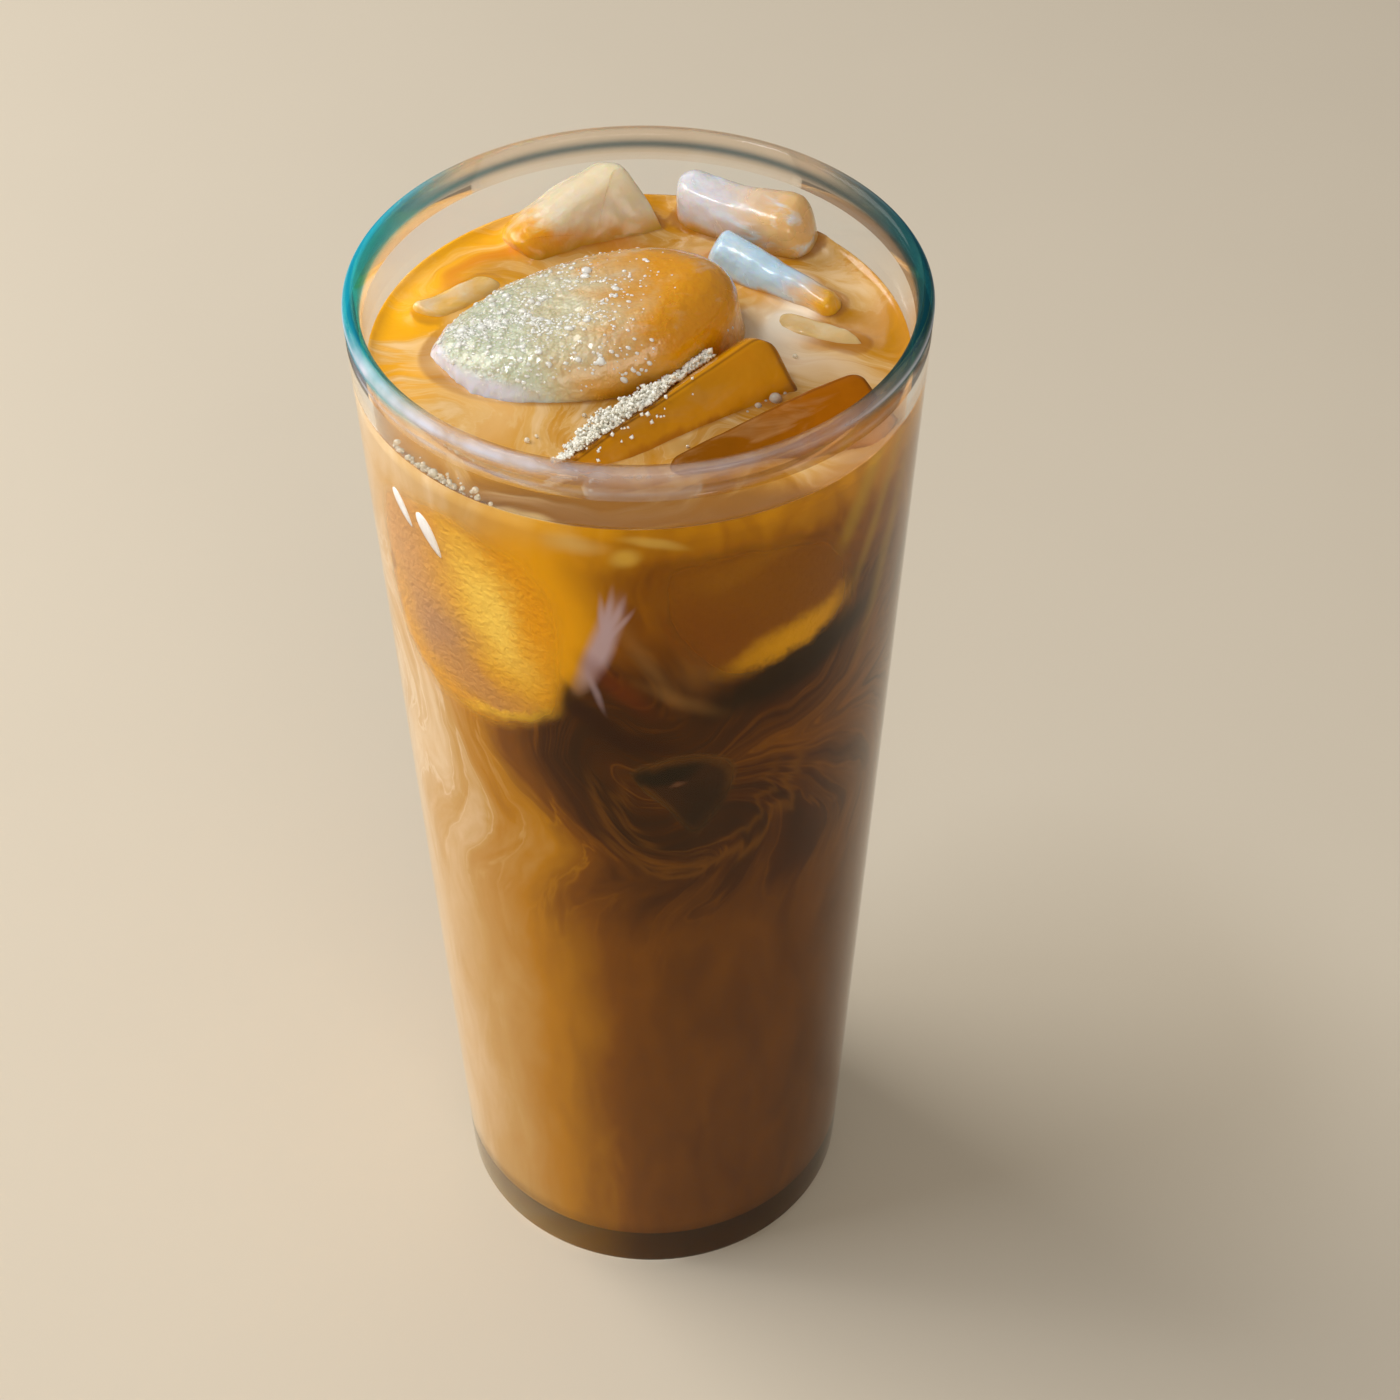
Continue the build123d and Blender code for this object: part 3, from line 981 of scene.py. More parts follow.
# ------------------------------------------------------------------ ice
# Each block: length, width and height; corner, edge and taper; and its place, which is its middle from
# the drink's level, then heading, lean, rise and spin. They are as in the CAD source, except that
# ice_slab_right is larger and that ice_low and ice_left float higher.
BLOCKS = {
    "ice_slab_front": ((32, 12.5, 6.0), (1.6, 1.1, 0), ((5.2, -14.6, -2.0), 50, 51, 14, 0)),
    "ice_slab_right": ((28.0, 10.8, 4.8), (2.2, 1.2, 2), ((17.4, -18.4, -0.9), 34, 25, 8, 0)),
    "ice_peak": ((18.5, 15, 9.0), (1.8, 1.2, 3), ((-7.4, 27.0, -1.0), 20, 56, -2, 27)),
    "ice_back": ((22, 9.0, 13.0), (3.6, 2.4, 4), ((13.8, 26.6, 0.4), -24, 16, 0, 0)),
    "ice_bar": ((22, 6.5, 11.0), (2.8, 2.2, 3), ((17.0, 14.8, -0.8), -36, 10, -8, 0)),
    "ice_low": ((15, 6.0, 9.0), (2.6, 1.4, 2), ((22.6, 4.0, -2.7), -27, 6, 0, 0)),
    "ice_left": ((15, 7.0, 9.0), (2.8, 1.6, 3), ((-23.2, 11.2, -2.7), 42, 8, 0, 0)),
}
BLOCK_STEP = 0.45       # size of a mesh step on a block
MELT = {"ice_peak": 1.8, "ice_back": 3.4, "ice_bar": 3.0, "ice_low": 3.2, "ice_left": 3.2}  # usual: 1
MELTED_FACETS = 9       # flat places melted on each block
MELTED_BACK = 0.4       # how far melting has drawn a block in from its plain box

LOAF_SIZE, LOAF_PLACE = (40, 24, 18.0), ((-6.4, 1.8, -1.7), 11.5, 0, 13, 0)
LOAF_EDGE, LOAF_UNDER_EDGE = 6.0, 4.0
LOAF_AROUND, LOAF_STEP = 420, 0.36
SPLIT_TURN, SPLIT_INSET, SPLIT_LEAN = 27.5, 1.8, 14.0       # the plane of its split end

# Where in the lattice noise each shape is read, so that no two are alike.
FROST_NOISE, BLOCK_NOISE, LOAF_NOISE, RIPPLE_NOISE = 40, 50, 80, 90


def ice_look(start, end, foot, **changes):
    """How one piece looks: its colours at its -X end, +X end and the drink, and what is not as usual."""
    usual = {
        "fade": (0.15, 0.85), "milk": 0.25, "vein": PALE_CREAM, "frost": 0.1, "wet": 2.4, "lined": 0.0,
        "tip": 0.0, "clear": 0.55, "soft": 0.0, "rough": 0.12, "coat": 0.4, "gloss": 0.5, "sheen": 0.04,
    }
    return {"start": start, "end": end, "foot": foot, **usual, **changes}


ICE_LOOKS = {
    "ice_slab_front": ice_look(
        srgb(232, 156, 2), srgb(240, 166, 6), srgb(198, 122, 4),
        milk=0.12, frost=0.0, wet=1.2, clear=0.45, rough=0.1, lined=0.6, coat=0.15, gloss=0.35,
    ),
    "ice_slab_right": ice_look(
        srgb(122, 70, 4), srgb(150, 84, 4), srgb(108, 60, 6),
        milk=0.12, frost=0.0, wet=1.0, clear=0.0, rough=0.12, lined=0.5, coat=0.0, gloss=0.12,
    ),
    "ice_peak": ice_look(
        srgb(250, 178, 30), srgb(250, 232, 200), srgb(250, 178, 30),
        milk=0.6, vein=srgb(252, 240, 216), wet=3.6, clear=0.3, soft=0.8, fade=(0.1, 0.4), sheen=0.2,
    ),
    # The whitish blue of these two pieces is partly milky ice and partly a painted reflection of cool light from
    # above.
    "ice_back": ice_look(
        srgb(232, 232, 240), srgb(240, 196, 130), srgb(240, 178, 66),
        milk=1.0, vein=srgb(232, 242, 255), wet=2.2, clear=0.2, soft=0.6, coat=0.8, rough=0.22, sheen=0.2,
    ),
    "ice_bar": ice_look(
        srgb(196, 228, 255), srgb(244, 178, 36), srgb(226, 178, 100),
        milk=0.8, vein=srgb(230, 244, 255), fade=(0.5, 0.95), wet=1.0, clear=0.2, soft=0.5, coat=0.8,
        rough=0.22, sheen=0.2,
    ),
    "ice_low": ice_look(
        srgb(236, 230, 206), srgb(196, 146, 80), srgb(226, 188, 124),
        milk=0.7, vein=srgb(240, 236, 222), fade=(0.5, 0.95), clear=0.2, soft=0.3,
    ),
    "ice_left": ice_look(
        srgb(236, 226, 214), srgb(232, 230, 204), srgb(240, 186, 86),
        milk=0.7, vein=srgb(238, 236, 230), clear=0.2, soft=0.3,
    ),
    "ice_loaf": ice_look(
        srgb(214, 218, 188), srgb(226, 154, 6), srgb(236, 164, 6),
        vein=srgb(222, 228, 222), frost=0.7, clear=0.2, rough=0.2, coat=0.8, wet=7.5, fade=(0.34, 0.8),
        soft=0.4, tip=1.0,
    ),
}

# Ice under the drink that rests against the glass. Outline: angle from the front, height. Ring: colours
# from its middle to its edge. Patches: as the blots on the wall, some of them painted highlights, glow and
# shade. Bumpy: how ragged the patches are. Fade: where it starts to fade out, on the way to its edge.
SUNKEN = {
    "sunken_ice_left": {
        "outline": [
            (-66, 147), (-71, 134), (-69, 121), (-58, 114), (-45, 112), (-32, 112.5),
            (-19, 115.5), (-12, 121), (-11, 131), (-12, 141), (-22, 149), (-44, 152),
        ],
        "ring": [
            (0.0, srgb(232, 174, 44)), (0.5, srgb(226, 162, 24)), (0.8, srgb(222, 156, 26)),
            (1.0, srgb(210, 146, 44)),
        ],
        "patches": [
            # Painted shade: the left face, in shade.
            (-57, 139, 6.5, 11.0, 8, 0.8, srgb(206, 152, 92), 0.9),
            # Painted highlight: a bright gold streak.
            (-31, 135, 3.8, 9.5, 24, 0.85, srgb(252, 216, 96), 0.85),
            # Painted shade: two grey-tan patches low on its face.
            (-47, 127, 5.5, 5.0, -38, 0.8, srgb(180, 134, 96), 0.85),
            (-37, 121.0, 6.5, 3.0, -10, 0.8, srgb(196, 142, 82), 0.8),
            # Painted highlight: a gold line along its lower edge.
            (-28, 118.8, 7.5, 0.8, 20, 0.8, srgb(248, 196, 56), 0.85),
            # Painted glow: gold at its right, where the light shines through.
            (-20, 135, 3.0, 12.0, 8, 0.9, srgb(228, 156, 4), 0.8),
            (-64.5, 131, 0.6, 12.0, 3, 0.8, srgb(140, 92, 46), 0.6),
            (-54, 117.6, 0.6, 5.0, 50, 0.8, srgb(150, 100, 50), 0.5),
        ],
        "bumpy": 1.6,
        "fade": 0.7,
    },
    "sunken_ice_right": {
        "outline": [
            (-2, 149), (-2, 141), (2, 134), (8, 128.5), (15, 124.5), (27, 122), (40, 122.5),
            (50, 125.5), (55, 132), (54, 140), (46, 147), (26, 151), (6, 151.5),
        ],
        "ring": [
            (0.0, srgb(130, 76, 1)), (0.6, srgb(130, 75, 1)), (0.85, srgb(126, 71, 1)),
            (1.0, srgb(120, 66, 2)),
        ],
        "patches": [
            (10, 134, 9.0, 6.0, 0, 0.8, srgb(118, 60, 1), 0.6),
            # Painted highlight: gold along its lower edge.
            (38, 131.0, 9.5, 2.4, 17, 0.8, srgb(214, 150, 4), 0.95),
            # Painted shadow: a near-black band under the ice.
            (34, 125.6, 12.0, 2.7, 15, 0.4, srgb(26, 9, 1), 0.97),
            (13, 129.0, 4.0, 0.8, -42, 0.8, srgb(160, 102, 20), 0.5),
            (24, 145.5, 6.0, 1.6, 12, 0.9, srgb(150, 96, 6), 0.5),
        ],
        "bumpy": 0.9,
        "fade": 0.6,
    },
    "sunken_ice_low": {
        "outline": [
            (-5, 112), (2, 115), (13, 116), (23, 112.5), (22.5, 106), (15, 98.5), (11, 98), (5, 103.5)
        ],
        "ring": [
            (0.0, srgb(38, 14, 2)), (0.55, srgb(48, 20, 3)), (0.72, srgb(76, 42, 5)),
            (0.84, srgb(98, 58, 10)), (1.0, srgb(60, 28, 3)),
        ],
        "patches": [
            (5, 111.5, 5.0, 1.4, 16, 0.6, srgb(12, 3, 1), 0.95),
            (14, 104, 2.6, 5.0, -16, 0.7, srgb(28, 8, 1), 0.8),
            (8, 110, 1.0, 0.5, 20, 0.6, srgb(120, 76, 50), 0.5),
        ],
        "bumpy": 0.5,
        "fade": 0.72,
    },
}
SUNKEN_REACH = 0.38     # how far sunken ice stands into the wall, past the drink
SUNKEN_DEPTH = 7.0      # how far its back is behind the wall
SUNKEN_AROUND, SUNKEN_FRONT, SUNKEN_EDGE, SUNKEN_BACK = 220, 34, 16, 16     # mesh steps
SUNKEN_START, SUNKEN_FLAT = 0.02, 0.93      # shares of the outline where its flat front starts and ends


def place_turn(heading, lean, rise, spin):
    """How a block is turned where it floats: by heading about Z, after lean, -rise and spin about X, Y, Z."""
    return turn(z=heading) @ turn(lean, -rise, spin)


def block_to_glass(points, place):
    """A block's own points, turned and moved to where it floats."""
    middle, *turns = place
    return points @ place_turn(*turns).T + np.array(middle) + np.array([0, 0, DRINK_LEVEL])


def glass_to_block(points, place):
    """Points of the glass as the block that floats there has them."""
    middle, *turns = place
    return (points - np.array(middle) - np.array([0, 0, DRINK_LEVEL])) @ place_turn(*turns)


def block_surface(name, glass, ice):
    """A melted tray cube: a rounded outline up an edge profile, waved along its normals, kept in the bore."""
    (length, width, height), (corner, edge, taper), place = BLOCKS[name]
    outline = rectangle_outline(length, width, corner, ice.around)
    rings, normals = block_rings(outline, height, edge, edge, taper, BLOCK_STEP)
    seed = SEED + list(BLOCKS).index(name)
    at = rings + BLOCK_NOISE
    wave = lattice_noise(at, 3.2, seed) + 0.4 * lattice_noise(at, 1.3, seed + 1) - 0.9
    slump = lattice_noise(at, 7.0, seed + 2) - 0.6
    melt = MELT.get(name, 1.0)
    waved = rings + normals * (ice.ripple * melt * wave + ice.slump * (0.6 + 0.4 * melt) * slump)[..., None]
    rng = np.random.default_rng(seed + 3)
    for _ in range(MELTED_FACETS):
        toward = rng.normal(size=3) * np.array([1.0, 1.0, 0.8])
        toward /= np.linalg.norm(toward)
        reach = np.max(rings @ toward) - rng.uniform(0.4, 1.5)
        waved = pressed_flat(waved, toward, reach, 0.3 * melt)
    return rings, in_glass(block_to_glass(waved, place), glass)


def loaf_surface(glass, ice):
    """The loaf: an oval block, its split end pressed flat by a leaning plane, its top lumpy with frost."""
    length, width, height = LOAF_SIZE
    outline = ellipse_outline(length, width, LOAF_AROUND)
    rings, normals = block_rings(outline, height, LOAF_UNDER_EDGE, LOAF_EDGE, 0, LOAF_STEP)
    facing = turn(z=180 + SPLIT_TURN)
    toward = facing @ turn(y=90 - SPLIT_LEAN) @ np.array([0, 0, 1.0])
    flat_point = facing @ np.array([length / 2 - SPLIT_INSET, 0, 0])
    pressed = pressed_flat(rings, toward, flat_point @ toward)
    frosted = np.clip(0.62 - rings[..., 0] / length * 1.5, 0.1, 1.0)
    at = rings + LOAF_NOISE
    lumps = lattice_noise(at, 1.25, SEED + 30) ** 2 + 0.6 * lattice_noise(at, 0.7, SEED + 31) ** 2
    swell = lattice_noise(at, 6.0, SEED + 32) - 0.5
    offset = ice.frost_depth * frosted * (lumps - 0.45) + 0.5 * swell - 0.15
    return rings, in_glass(block_to_glass(pressed + normals * offset[..., None], LOAF_PLACE), glass)


def add_block(name, rings, placed, material):
    """Adds a piece of ice whose points keep their place in the block, in millimetres and as a share of it."""
    local = np.concatenate([rings.reshape(-1, 3), [rings[0].mean(0), rings[-1].mean(0)]])
    low, high = local.min(0), local.max(0)
    attributes = {"local": local, "share": (local - low) / (high - low)}
    add_piece(name + "_melted", capped(placed), [material], name, attributes=attributes)


ICE_FADE = 0.9          # how soon nearness to ice fades


def ice_nearness(points):
    """1 at a piece of ice, fading outwards by exp(-distance / ICE_FADE).

    Distance is from a block's box with its corners rounded, or from the loaf's oval.
    """
    half = np.array(LOAF_SIZE) / 2
    local = glass_to_block(points, LOAF_PLACE)
    oval = np.hypot(local[..., 0] / half[0], local[..., 1] / half[1])
    near = np.exp(-np.maximum((oval - 1) * half[1], 0) / ICE_FADE)
    for size_of, (corner, _, _), place in BLOCKS.values():
        core = np.array(size_of) / 2 - corner - MELTED_BACK
        outside = np.maximum(np.abs(glass_to_block(points, place)) - core, 0)
        distance = np.maximum(np.linalg.norm(outside, axis=-1) - corner, 0)
        near = np.maximum(near, np.exp(-distance / ICE_FADE))
    return near


def sunken_surface(points, glass):
    """Ice against the wall: its outline, scaled towards its middle ring by ring, laid on the bore.

    It lies on the bore in front and is set back behind, with a rounded edge between. Returns its rings
    and the share of the outline that each is scaled to.
    """
    outline = smooth_outline([(degrees_round(a), z) for a, z in points], SUNKEN_AROUND)
    area = np.sum(outline[:, 0] * np.roll(outline[:, 1], -1) - np.roll(outline[:, 0], -1) * outline[:, 1])
    if area > 0:
        outline = outline[::-1]
    middle = outline.mean(0)
    front = np.linspace(SUNKEN_START, SUNKEN_FLAT, SUNKEN_FRONT)
    edge = np.linspace(0, np.pi, SUNKEN_EDGE)[1:-1]
    back = np.linspace(SUNKEN_FLAT, SUNKEN_START, SUNKEN_BACK)
    scale = np.concatenate([front, SUNKEN_FLAT + (1 - SUNKEN_FLAT) * np.sin(edge), back])
    behind = SUNKEN_REACH - SUNKEN_DEPTH * (1 - np.cos(edge)) / 2
    depth = np.concatenate([0 * front + SUNKEN_REACH, behind, 0 * back - SUNKEN_DEPTH])
    flat = middle + (outline - middle)[None] * scale[:, None, None]
    return on_wall(glass, flat[..., 0] / UNROLL_RADIUS, flat[..., 1], depth[:, None]), scale


# ------------------------------------------------------------------ small pieces
# Along the front slab's upper edge: how thick the crystals lie, and how far over its front they reach.
CRYSTALS_THICK = [(-16, 0.2), (-11, 0.55), (-6, 1.0), (-1, 0.9), (3, 0.5), (6, 0.6), (8, 0.9), (9.6, 0.5)]
CRYSTALS_REACH = [(-16, 2.6), (-8, 3.0), (-1, 2.6), (2, 0.4), (6, -1.2), (9.6, -0.6)]
CRYSTALS_END = 9.6
SPILT_SHARE = 0.012     # share of the crystals that have rolled down onto the slab's face

BUBBLES = [
    # x, y, radius
    (16.6, -9.5, 0.85), (14.5, -10.9, 0.5), (15.4, -10.0, 0.32), (17.7, -8.4, 0.4), (18.3, -7.4, 0.24),
    (13.2, -12.0, 0.22), (19.2, -0.8, 0.3), (18.4, -5.6, 0.22), (-6.5, -12.6, 0.3), (-13.2, -17.4, 0.35),
    (-12.1, -16.6, 0.22), (6.0, -18.6, 0.22),
]
FROTH_BUBBLES, FROTH_ANGLE, FROTH_SPREAD = 90, -44, 6.5
CREAM_DROPS = [
    # angle, height, half length, half width, tilt
    (-55.0, 144.4, 2.6, 0.85, -52),
    (-46.5, 143.2, 3.1, 1.05, -58),
]


def crystal_places(ice, rng):
    """Where crystals lie: strewn along the front slab's upper edge, heaped where a noise is high."""
    (length, width, height), _, place = BLOCKS["ice_slab_front"]
    count = ice.crystals
    along = rng.uniform(-length / 2 + 0.3, CRYSTALS_END, count)
    clump = lattice_noise(np.stack([along, 0 * along, 0 * along], 1) + FROST_NOISE, 1.6, SEED + 61)
    thick = np.interp(along, *zip(*CRYSTALS_THICK)) * (0.4 + clump)
    z = rng.uniform(-3.3, np.interp(along, *zip(*CRYSTALS_REACH)))
    y = width / 2 + rng.random(count) ** 1.5 * 1.5 * thick
    spilt = rng.random(count) < SPILT_SHARE
    y = np.where(spilt, width / 2 - rng.random(count) * 2.2, y)
    z = np.where(spilt, height / 2 + 0.1, z)
    places = block_to_glass(np.stack([along, y, z], 1), place)
    return places[places[:, 2] > DRINK_LEVEL + 0.2]


def drop_surface(glass, angle, height, half_length, half_width, tilt):
    """A teardrop on the bore, laid round the wall and swollen by its own half thickness.

    It is an oval whose width is sin v (1 + 0.45 cos v) at length cos v.
    """
    u = np.linspace(0, 2 * np.pi, 28, endpoint=False)
    v = np.linspace(0, np.pi, 18)[1:-1, None]
    along = -np.cos(v) * half_length + 0 * u
    across = np.sin(v) * (1 + 0.45 * np.cos(v)) * half_width * np.cos(u)
    deep = np.sin(v) * 0.6 * np.sin(u)
    c, s = math.cos(math.radians(tilt)), math.sin(math.radians(tilt))
    x, z = along * c - across * s, along * s + across * c
    return capped(on_wall(glass, math.radians(angle) + x / UNROLL_RADIUS, height + z, 0.45 - deep))


def joined(shapes):
    """Several shapes as one."""
    starts = np.cumsum([0] + [len(shape[0]) for shape in shapes])
    vertices = np.concatenate([shape[0] for shape in shapes])
    quads, fans = (np.concatenate([shape[i] + start for shape, start in zip(shapes, starts)]) for i in (1, 2))
    return vertices, quads, fans


# ------------------------------------------------------------------ operators
CAMERA_PLACE, CAMERA_TILT = (0.007465, -0.279832, 0.362056), 46.098
CAMERA_LENS, CAMERA_SENSOR = 72.0, 36.0
LAMP_AIM = (0, 0, 0.1)
LAMPS = [
    # name, width, depth, place, colour
    ("key", 0.55, 0.55, (-0.62, 0.28, 0.62), (1.0, 0.97, 0.93)),
    ("fill", 0.9, 0.45, (0.22, -1.0, 0.55), (1.0, 0.93, 0.82)),
    ("top", 0.24, 0.16, (-0.42, -0.08, 1.0), (0.88, 0.92, 1.0)),
]
FLOOR_HALF, FLOOR_LEVEL = 3.0, -0.0002

MIDDLE_START = 1.5      # radius where a turned profile starts, round the point that closes it
LIP_BAND = 5.0          # height of the lip's own glass
MENISCUS_FADE = 0.8     # how soon the drink's climb up the wall fades
SURFACE_WAVE = 0.22     # height of the slow waves on the drink


class COFFEE_OT_studio(bpy.types.Operator):
    """Floor, soft lights and the camera"""

    bl_idname = "coffee.studio"
    bl_label = "Studio"

    def execute(self, context):
        scene = context.scene
        studio = scene.coffee_studio
        scene.view_settings.view_transform = "Standard"
        camera_data = bpy.data.cameras.new("Camera")
        camera_data.sensor_width, camera_data.lens = CAMERA_SENSOR, CAMERA_LENS
        camera = bpy.data.objects.new("Camera", camera_data)
        camera.location = CAMERA_PLACE
        camera.rotation_euler = (math.radians(CAMERA_TILT), 0.0, 0.0)
        scene.collection.objects.link(camera)
        scene.camera = camera
        pale = tuple(studio.floor)
        shades = (pale, tuple(0.97 * c for c in pale))
        mesh = bpy.data.meshes.new("floor")
        corners = [(x * FLOOR_HALF, y * FLOOR_HALF, FLOOR_LEVEL) for x, y in ((-1, -1), (1, -1), (1, 1), (-1, 1))]
        mesh.from_pydata(corners, [], [(0, 1, 2, 3)])
        mesh.materials.append(
            plain_material("studio_floor", 0.02, 3.0, shades, Roughness=0.75, Specular_IOR_Level=0.2)
        )
        floor = bpy.data.objects.new("floor", mesh)
        scene.collection.objects.link(floor)
        world = bpy.data.worlds.new("studio_air")
        world.use_nodes = True
        air = world.node_tree.nodes["Background"]
        air.inputs[0].default_value = tuple(studio.air) + (1.0,)
        air.inputs[1].default_value = studio.air_strength
        scene.world = world
        for name, width, depth, place, colour in LAMPS:
            lamp = bpy.data.lights.new(name, "AREA")
            lamp.shape, lamp.size, lamp.size_y = "RECTANGLE", width, depth
            lamp.energy, lamp.color = getattr(studio, name + "_power"), colour
            holder = bpy.data.objects.new(name, lamp)
            holder.location = place
            x, y, z = np.array(LAMP_AIM) - np.array(place)
            holder.rotation_euler = (math.atan2(math.hypot(x, y), -z), 0.0, math.atan2(-x, y))
            scene.collection.objects.link(holder)
        return {"FINISHED"}


class COFFEE_OT_tumbler(bpy.types.Operator):
    """The clear, tapered tumbler"""

    bl_idname = "coffee.tumbler"
    bl_label = "Tumbler"

    def execute(self, context):
        glass = context.scene.coffee_glass
        lip, floor = glass.wall / 2, glass.base_thickness
        top = glass.height - lip
        shoulder = (glass.rim_radius, top)
        inner_top = (glass.rim_radius - glass.wall, top)
        foot_arc = rounded((glass.base_radius, 0), (0, 0), shoulder, glass.foot_round, 10)
        floor_arc = rounded((bore_radius(glass, floor), floor), inner_top, (0, floor), glass.bore_corner, 20)
        sweep = np.linspace(0, np.pi, 26)
        lip_arc = np.stack([glass.rim_radius - lip + lip * np.cos(sweep), top + lip * np.sin(sweep)], 1)
        profile = np.concatenate(
            [
                line((MIDDLE_START, 0), foot_arc[0], 14)[:-1],
                foot_arc,
                line(foot_arc[-1], shoulder, 48)[1:-1],
                lip_arc,
                line(inner_top, floor_arc[0], 48)[1:-1],
                floor_arc,
                line(floor_arc[-1], (MIDDLE_START, floor), 14)[1:],
            ]
        )
        shape = closed_shell(turned(profile, glass.around), (0, 0, 0), (0, 0, floor))
        vertices, quads, fans = shape
        high = vertices[quads].mean(1)[:, 2] > glass.height - LIP_BAND
        on_lip = np.concatenate([high, np.zeros(len(fans), bool)])
        materials = [glass_material(glass), lip_material(glass)]
        add_piece("tumbler", shape, materials, "glass", face_material=on_lip)
        return {"FINISHED"}


class COFFEE_OT_drink(bpy.types.Operator):
    """The coffee and cream, up to its level"""

    bl_idname = "coffee.drink"
    bl_label = "Drink"

    def execute(self, context):
        glass, drink = context.scene.coffee_glass, context.scene.coffee_drink
        reach = drink.wall_reach
        bottom = glass.base_thickness - reach
        contact = drink.level + drink.meniscus
        corner = (bore_radius(glass, bottom) + reach, bottom)
        rim = (bore_radius(glass, contact) + reach, contact)
        arc = rounded(corner, (0, bottom), rim, glass.bore_corner, 18)
        floor = line((MIDDLE_START, bottom), arc[0], 14)[:-1]
        side = np.concatenate([floor, arc, line(arc[-1], rim, 60)[1:]])
        inner = np.linspace(rim[0], 0.4, 96)[1:]
        climb = drink.meniscus * np.exp(-(rim[0] - reach - inner) / MENISCUS_FADE)
        top = np.stack([inner, drink.level + np.minimum(climb, drink.meniscus)], 1)
        rings = turned(np.concatenate([side, top]), glass.around)
        face = rings[len(side):]
        near = ice_nearness(face)
        face[..., 2] += drink.ice_meniscus * near
        ripple = lattice_noise(face * np.array([1, 1, 0]) + RIPPLE_NOISE, 5.0, SEED + 50) - 0.5
        face[..., 2] += SURFACE_WAVE * ripple
        shape = closed_shell(rings, (0, 0, bottom), rings[-1].mean(0))
        _, quads, fans = shape
        ring_of_quad = np.arange(len(quads)) // glass.around
        on_top = np.concatenate([ring_of_quad >= len(side) - 1, np.arange(len(fans)) >= glass.around])
        near_ice = np.concatenate([np.zeros(len(side) * glass.around), near.ravel(), [0.0, 0.0]])
        materials = [wall_material(drink), surface_material(drink)]
        add_piece(
            "drink", shape, materials, "coffee",
            attributes={"near_ice": near_ice}, face_material=on_top,
        )
        return {"FINISHED"}


class COFFEE_OT_ice(bpy.types.Operator):
    """The pieces of ice that float in the drink"""

    bl_idname = "coffee.ice"
    bl_label = "Floating ice"

    def execute(self, context):
        glass, ice = context.scene.coffee_glass, context.scene.coffee_ice
        for name, looks in ICE_LOOKS.items():
            is_loaf = name == "ice_loaf"
            rings, placed = loaf_surface(glass, ice) if is_loaf else block_surface(name, glass, ice)
            add_block(name, rings, placed, ice_material(name + "_ice", looks))
        return {"FINISHED"}


class COFFEE_OT_loaf_frost(bpy.types.Operator):
    """Beads of frost on the loaf, thickest at its split end"""

    bl_idname = "coffee.loaf_frost"
    bl_label = "Loaf frost"

    def execute(self, context):
        glass, ice = context.scene.coffee_glass, context.scene.coffee_ice
        rng = np.random.default_rng(SEED + 70)
        rings, placed = loaf_surface(glass, ice)
        around = np.roll(placed, -1, 1) - np.roll(placed, 1, 1)
        normals = np.cross(around, np.gradient(placed, axis=0))
        normals /= np.maximum(np.linalg.norm(normals, axis=-1, keepdims=True), 1e-9)
        inner = slice(12, -12)
        local, spots, normals = (a[inner].reshape(-1, 3) for a in (rings, placed, normals))
        lengthways = -local[:, 0] / LOAF_SIZE[0]
        patchy = lattice_noise(local + LOAF_NOISE, 1.6, SEED + 71) ** 2
        weight = np.clip(lengthways + 0.32, 0.02, 1) ** 1.3 * (0.15 + patchy)
        weight *= np.clip((spots[:, 2] - DRINK_LEVEL - 1.5) / 2.5, 0, 1) * (normals[:, 2] > -0.2)
        pick = rng.choice(len(spots), ice.beads, p=weight / weight.sum())
        width = 0.13 * rng.lognormal(0, 0.5, ice.beads)
        sizes = np.stack([width * rng.uniform(0.8, 1.7, ice.beads), width, 0.55 * width], 1)
        beads = many(ball(7, 4), spots[pick], frames_on(normals[pick]), sizes)
        add_piece("loaf_frost", beads, [bead_material("loaf_frost", srgb(246, 246, 236), 0.3)])
        return {"FINISHED"}


class COFFEE_OT_frost(bpy.types.Operator):
    """Frost crystals along the upper edge of the front slab"""

    bl_idname = "coffee.frost"
    bl_label = "Frost crystals"

    def execute(self, context):
        ice = context.scene.coffee_ice
        rng = np.random.default_rng(SEED + 60)
        shape = crystals(crystal_places(ice, rng), ice.crystal, rng)
        material = plain_material(
            "frost_crystal", 0.5, 1.0, (srgb(255, 252, 232), srgb(255, 255, 250)),
            Roughness=0.2, IOR=ICE_IOR, Transmission_Weight=0.12, Coat_Weight=0.5,
        )
        add_piece("frost_crystals", shape, [material], smooth=False)
        return {"FINISHED"}


class COFFEE_OT_sunken_ice(bpy.types.Operator):
    """The ice that shows through the glass under the drink"""

    bl_idname = "coffee.sunken_ice"
    bl_label = "Sunken ice"

    def execute(self, context):
        for name, shades in SUNKEN.items():
            rings, scale = sunken_surface(shades["outline"], context.scene.coffee_glass)
            share = np.append(np.repeat(scale, rings.shape[1]), [0.0, 0.0])
            material = sunken_material(name + "_ice", shades)
            attributes = {"share": np.stack([share, share, share], 1)}
            add_piece(name, capped(rings), [material], attributes=attributes)
        return {"FINISHED"}


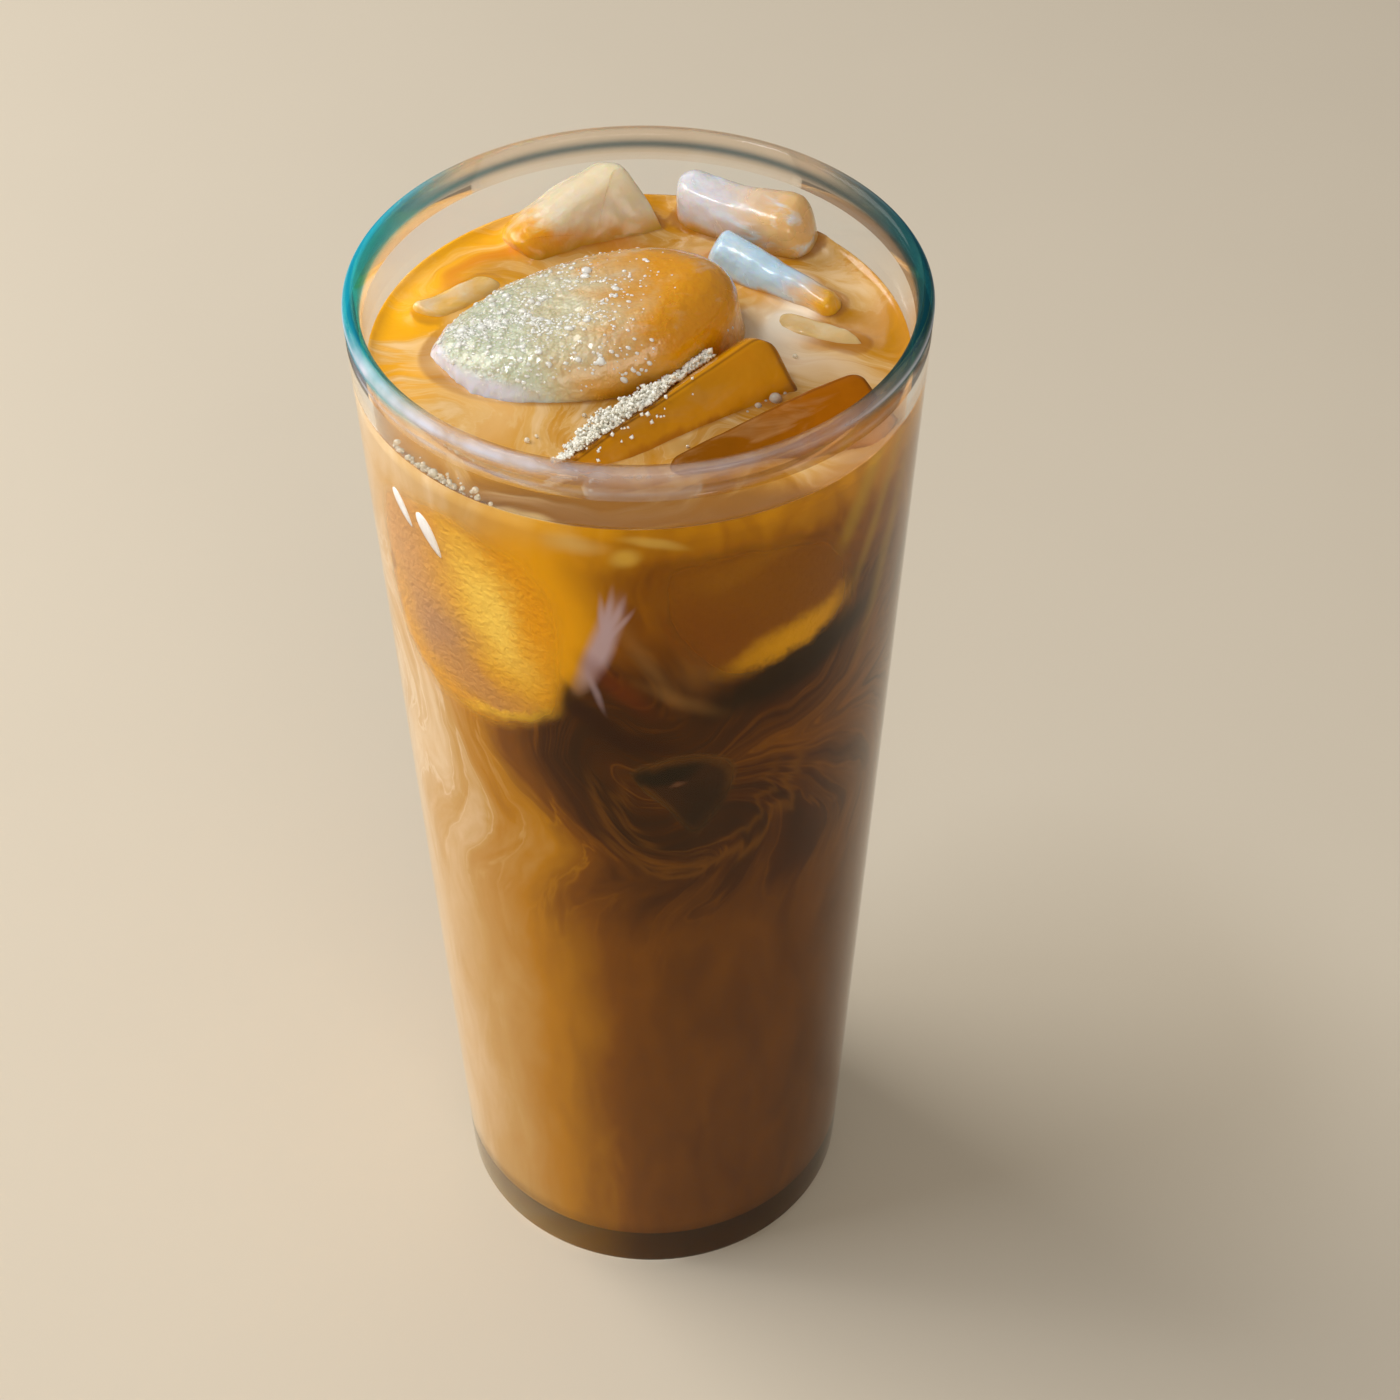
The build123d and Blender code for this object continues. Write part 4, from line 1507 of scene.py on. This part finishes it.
class COFFEE_OT_bubbles(bpy.types.Operator):
    """Air bubbles beside the front slab and froth along the glass"""

    bl_idname = "coffee.bubbles"
    bl_label = "Bubbles"

    def execute(self, context):
        rng = np.random.default_rng(SEED + 80)
        x, y, radius = np.array(BUBBLES).T[:, :, None]
        places = np.concatenate([x, y, 0 * x + DRINK_LEVEL + 0.25], 1)
        shape = many(ball(20, 12), places, unturned(len(places)), np.repeat(radius, 3, 1))
        material = bead_material("air_bubble", srgb(250, 240, 222), 0.55, 0.0)
        add_piece("air_bubbles", shape, [material])
        angle = rng.normal(FROTH_ANGLE, FROTH_SPREAD, FROTH_BUBBLES)
        height = DRINK_LEVEL + 0.35 + np.abs(rng.normal(0, 0.9, FROTH_BUBBLES))
        inward = -0.1 - rng.random(FROTH_BUBBLES) * 0.4
        places = on_wall(context.scene.coffee_glass, np.radians(angle), height, inward)
        radius = 0.22 * rng.lognormal(0, 0.45, (FROTH_BUBBLES, 1))
        shape = many(ball(9, 6), places, unturned(len(places)), np.repeat(radius, 3, 1))
        add_piece("froth", shape, [bead_material("froth", srgb(244, 232, 210), 0.6)])
        return {"FINISHED"}


class COFFEE_OT_cream_drops(bpy.types.Operator):
    """Two drops of cream against the glass"""

    bl_idname = "coffee.cream_drops"
    bl_label = "Cream drops"

    def execute(self, context):
        shape = joined([drop_surface(context.scene.coffee_glass, *drop) for drop in CREAM_DROPS])
        material = bead_material("cream_drop", srgb(236, 238, 240), 0.0, 0.2)
        add_piece("cream_drops", shape, [material])
        return {"FINISHED"}


class COFFEE_PT_panel(bpy.types.Panel):
    """Lists the pieces"""

    bl_idname = "COFFEE_PT_panel"
    bl_label = "Iced Coffee"
    bl_space_type = "VIEW_3D"
    bl_region_type = "UI"
    bl_category = "Iced Coffee"

    def draw(self, context):
        for operator in OPERATORS:
            self.layout.operator(operator.bl_idname)


GROUPS = {
    "coffee_glass": TumblerSizes,
    "coffee_drink": DrinkSizes,
    "coffee_ice": IceSizes,
    "coffee_studio": StudioSettings,
}
OPERATORS = (
    COFFEE_OT_studio,
    COFFEE_OT_tumbler,
    COFFEE_OT_drink,
    COFFEE_OT_ice,
    COFFEE_OT_loaf_frost,
    COFFEE_OT_frost,
    COFFEE_OT_sunken_ice,
    COFFEE_OT_bubbles,
    COFFEE_OT_cream_drops,
)


def register():
    """Makes the settings, the operators and the panel known."""
    for kind in (*GROUPS.values(), *OPERATORS, COFFEE_PT_panel):
        bpy.utils.register_class(kind)
    for name, kind in GROUPS.items():
        setattr(bpy.types.Scene, name, PointerProperty(type=kind))


def unregister():
    """Takes away what register made."""
    for name in GROUPS:
        delattr(bpy.types.Scene, name)
    for kind in (COFFEE_PT_panel, *reversed(OPERATORS), *reversed(tuple(GROUPS.values()))):
        bpy.utils.unregister_class(kind)


def main():
    """Builds every piece in turn."""
    register()
    build_groups()
    for operator in OPERATORS:
        getattr(bpy.ops.coffee, operator.bl_idname.split(".")[1])()
    bpy.context.view_layer.update()


if __name__ == "__main__":
    main()
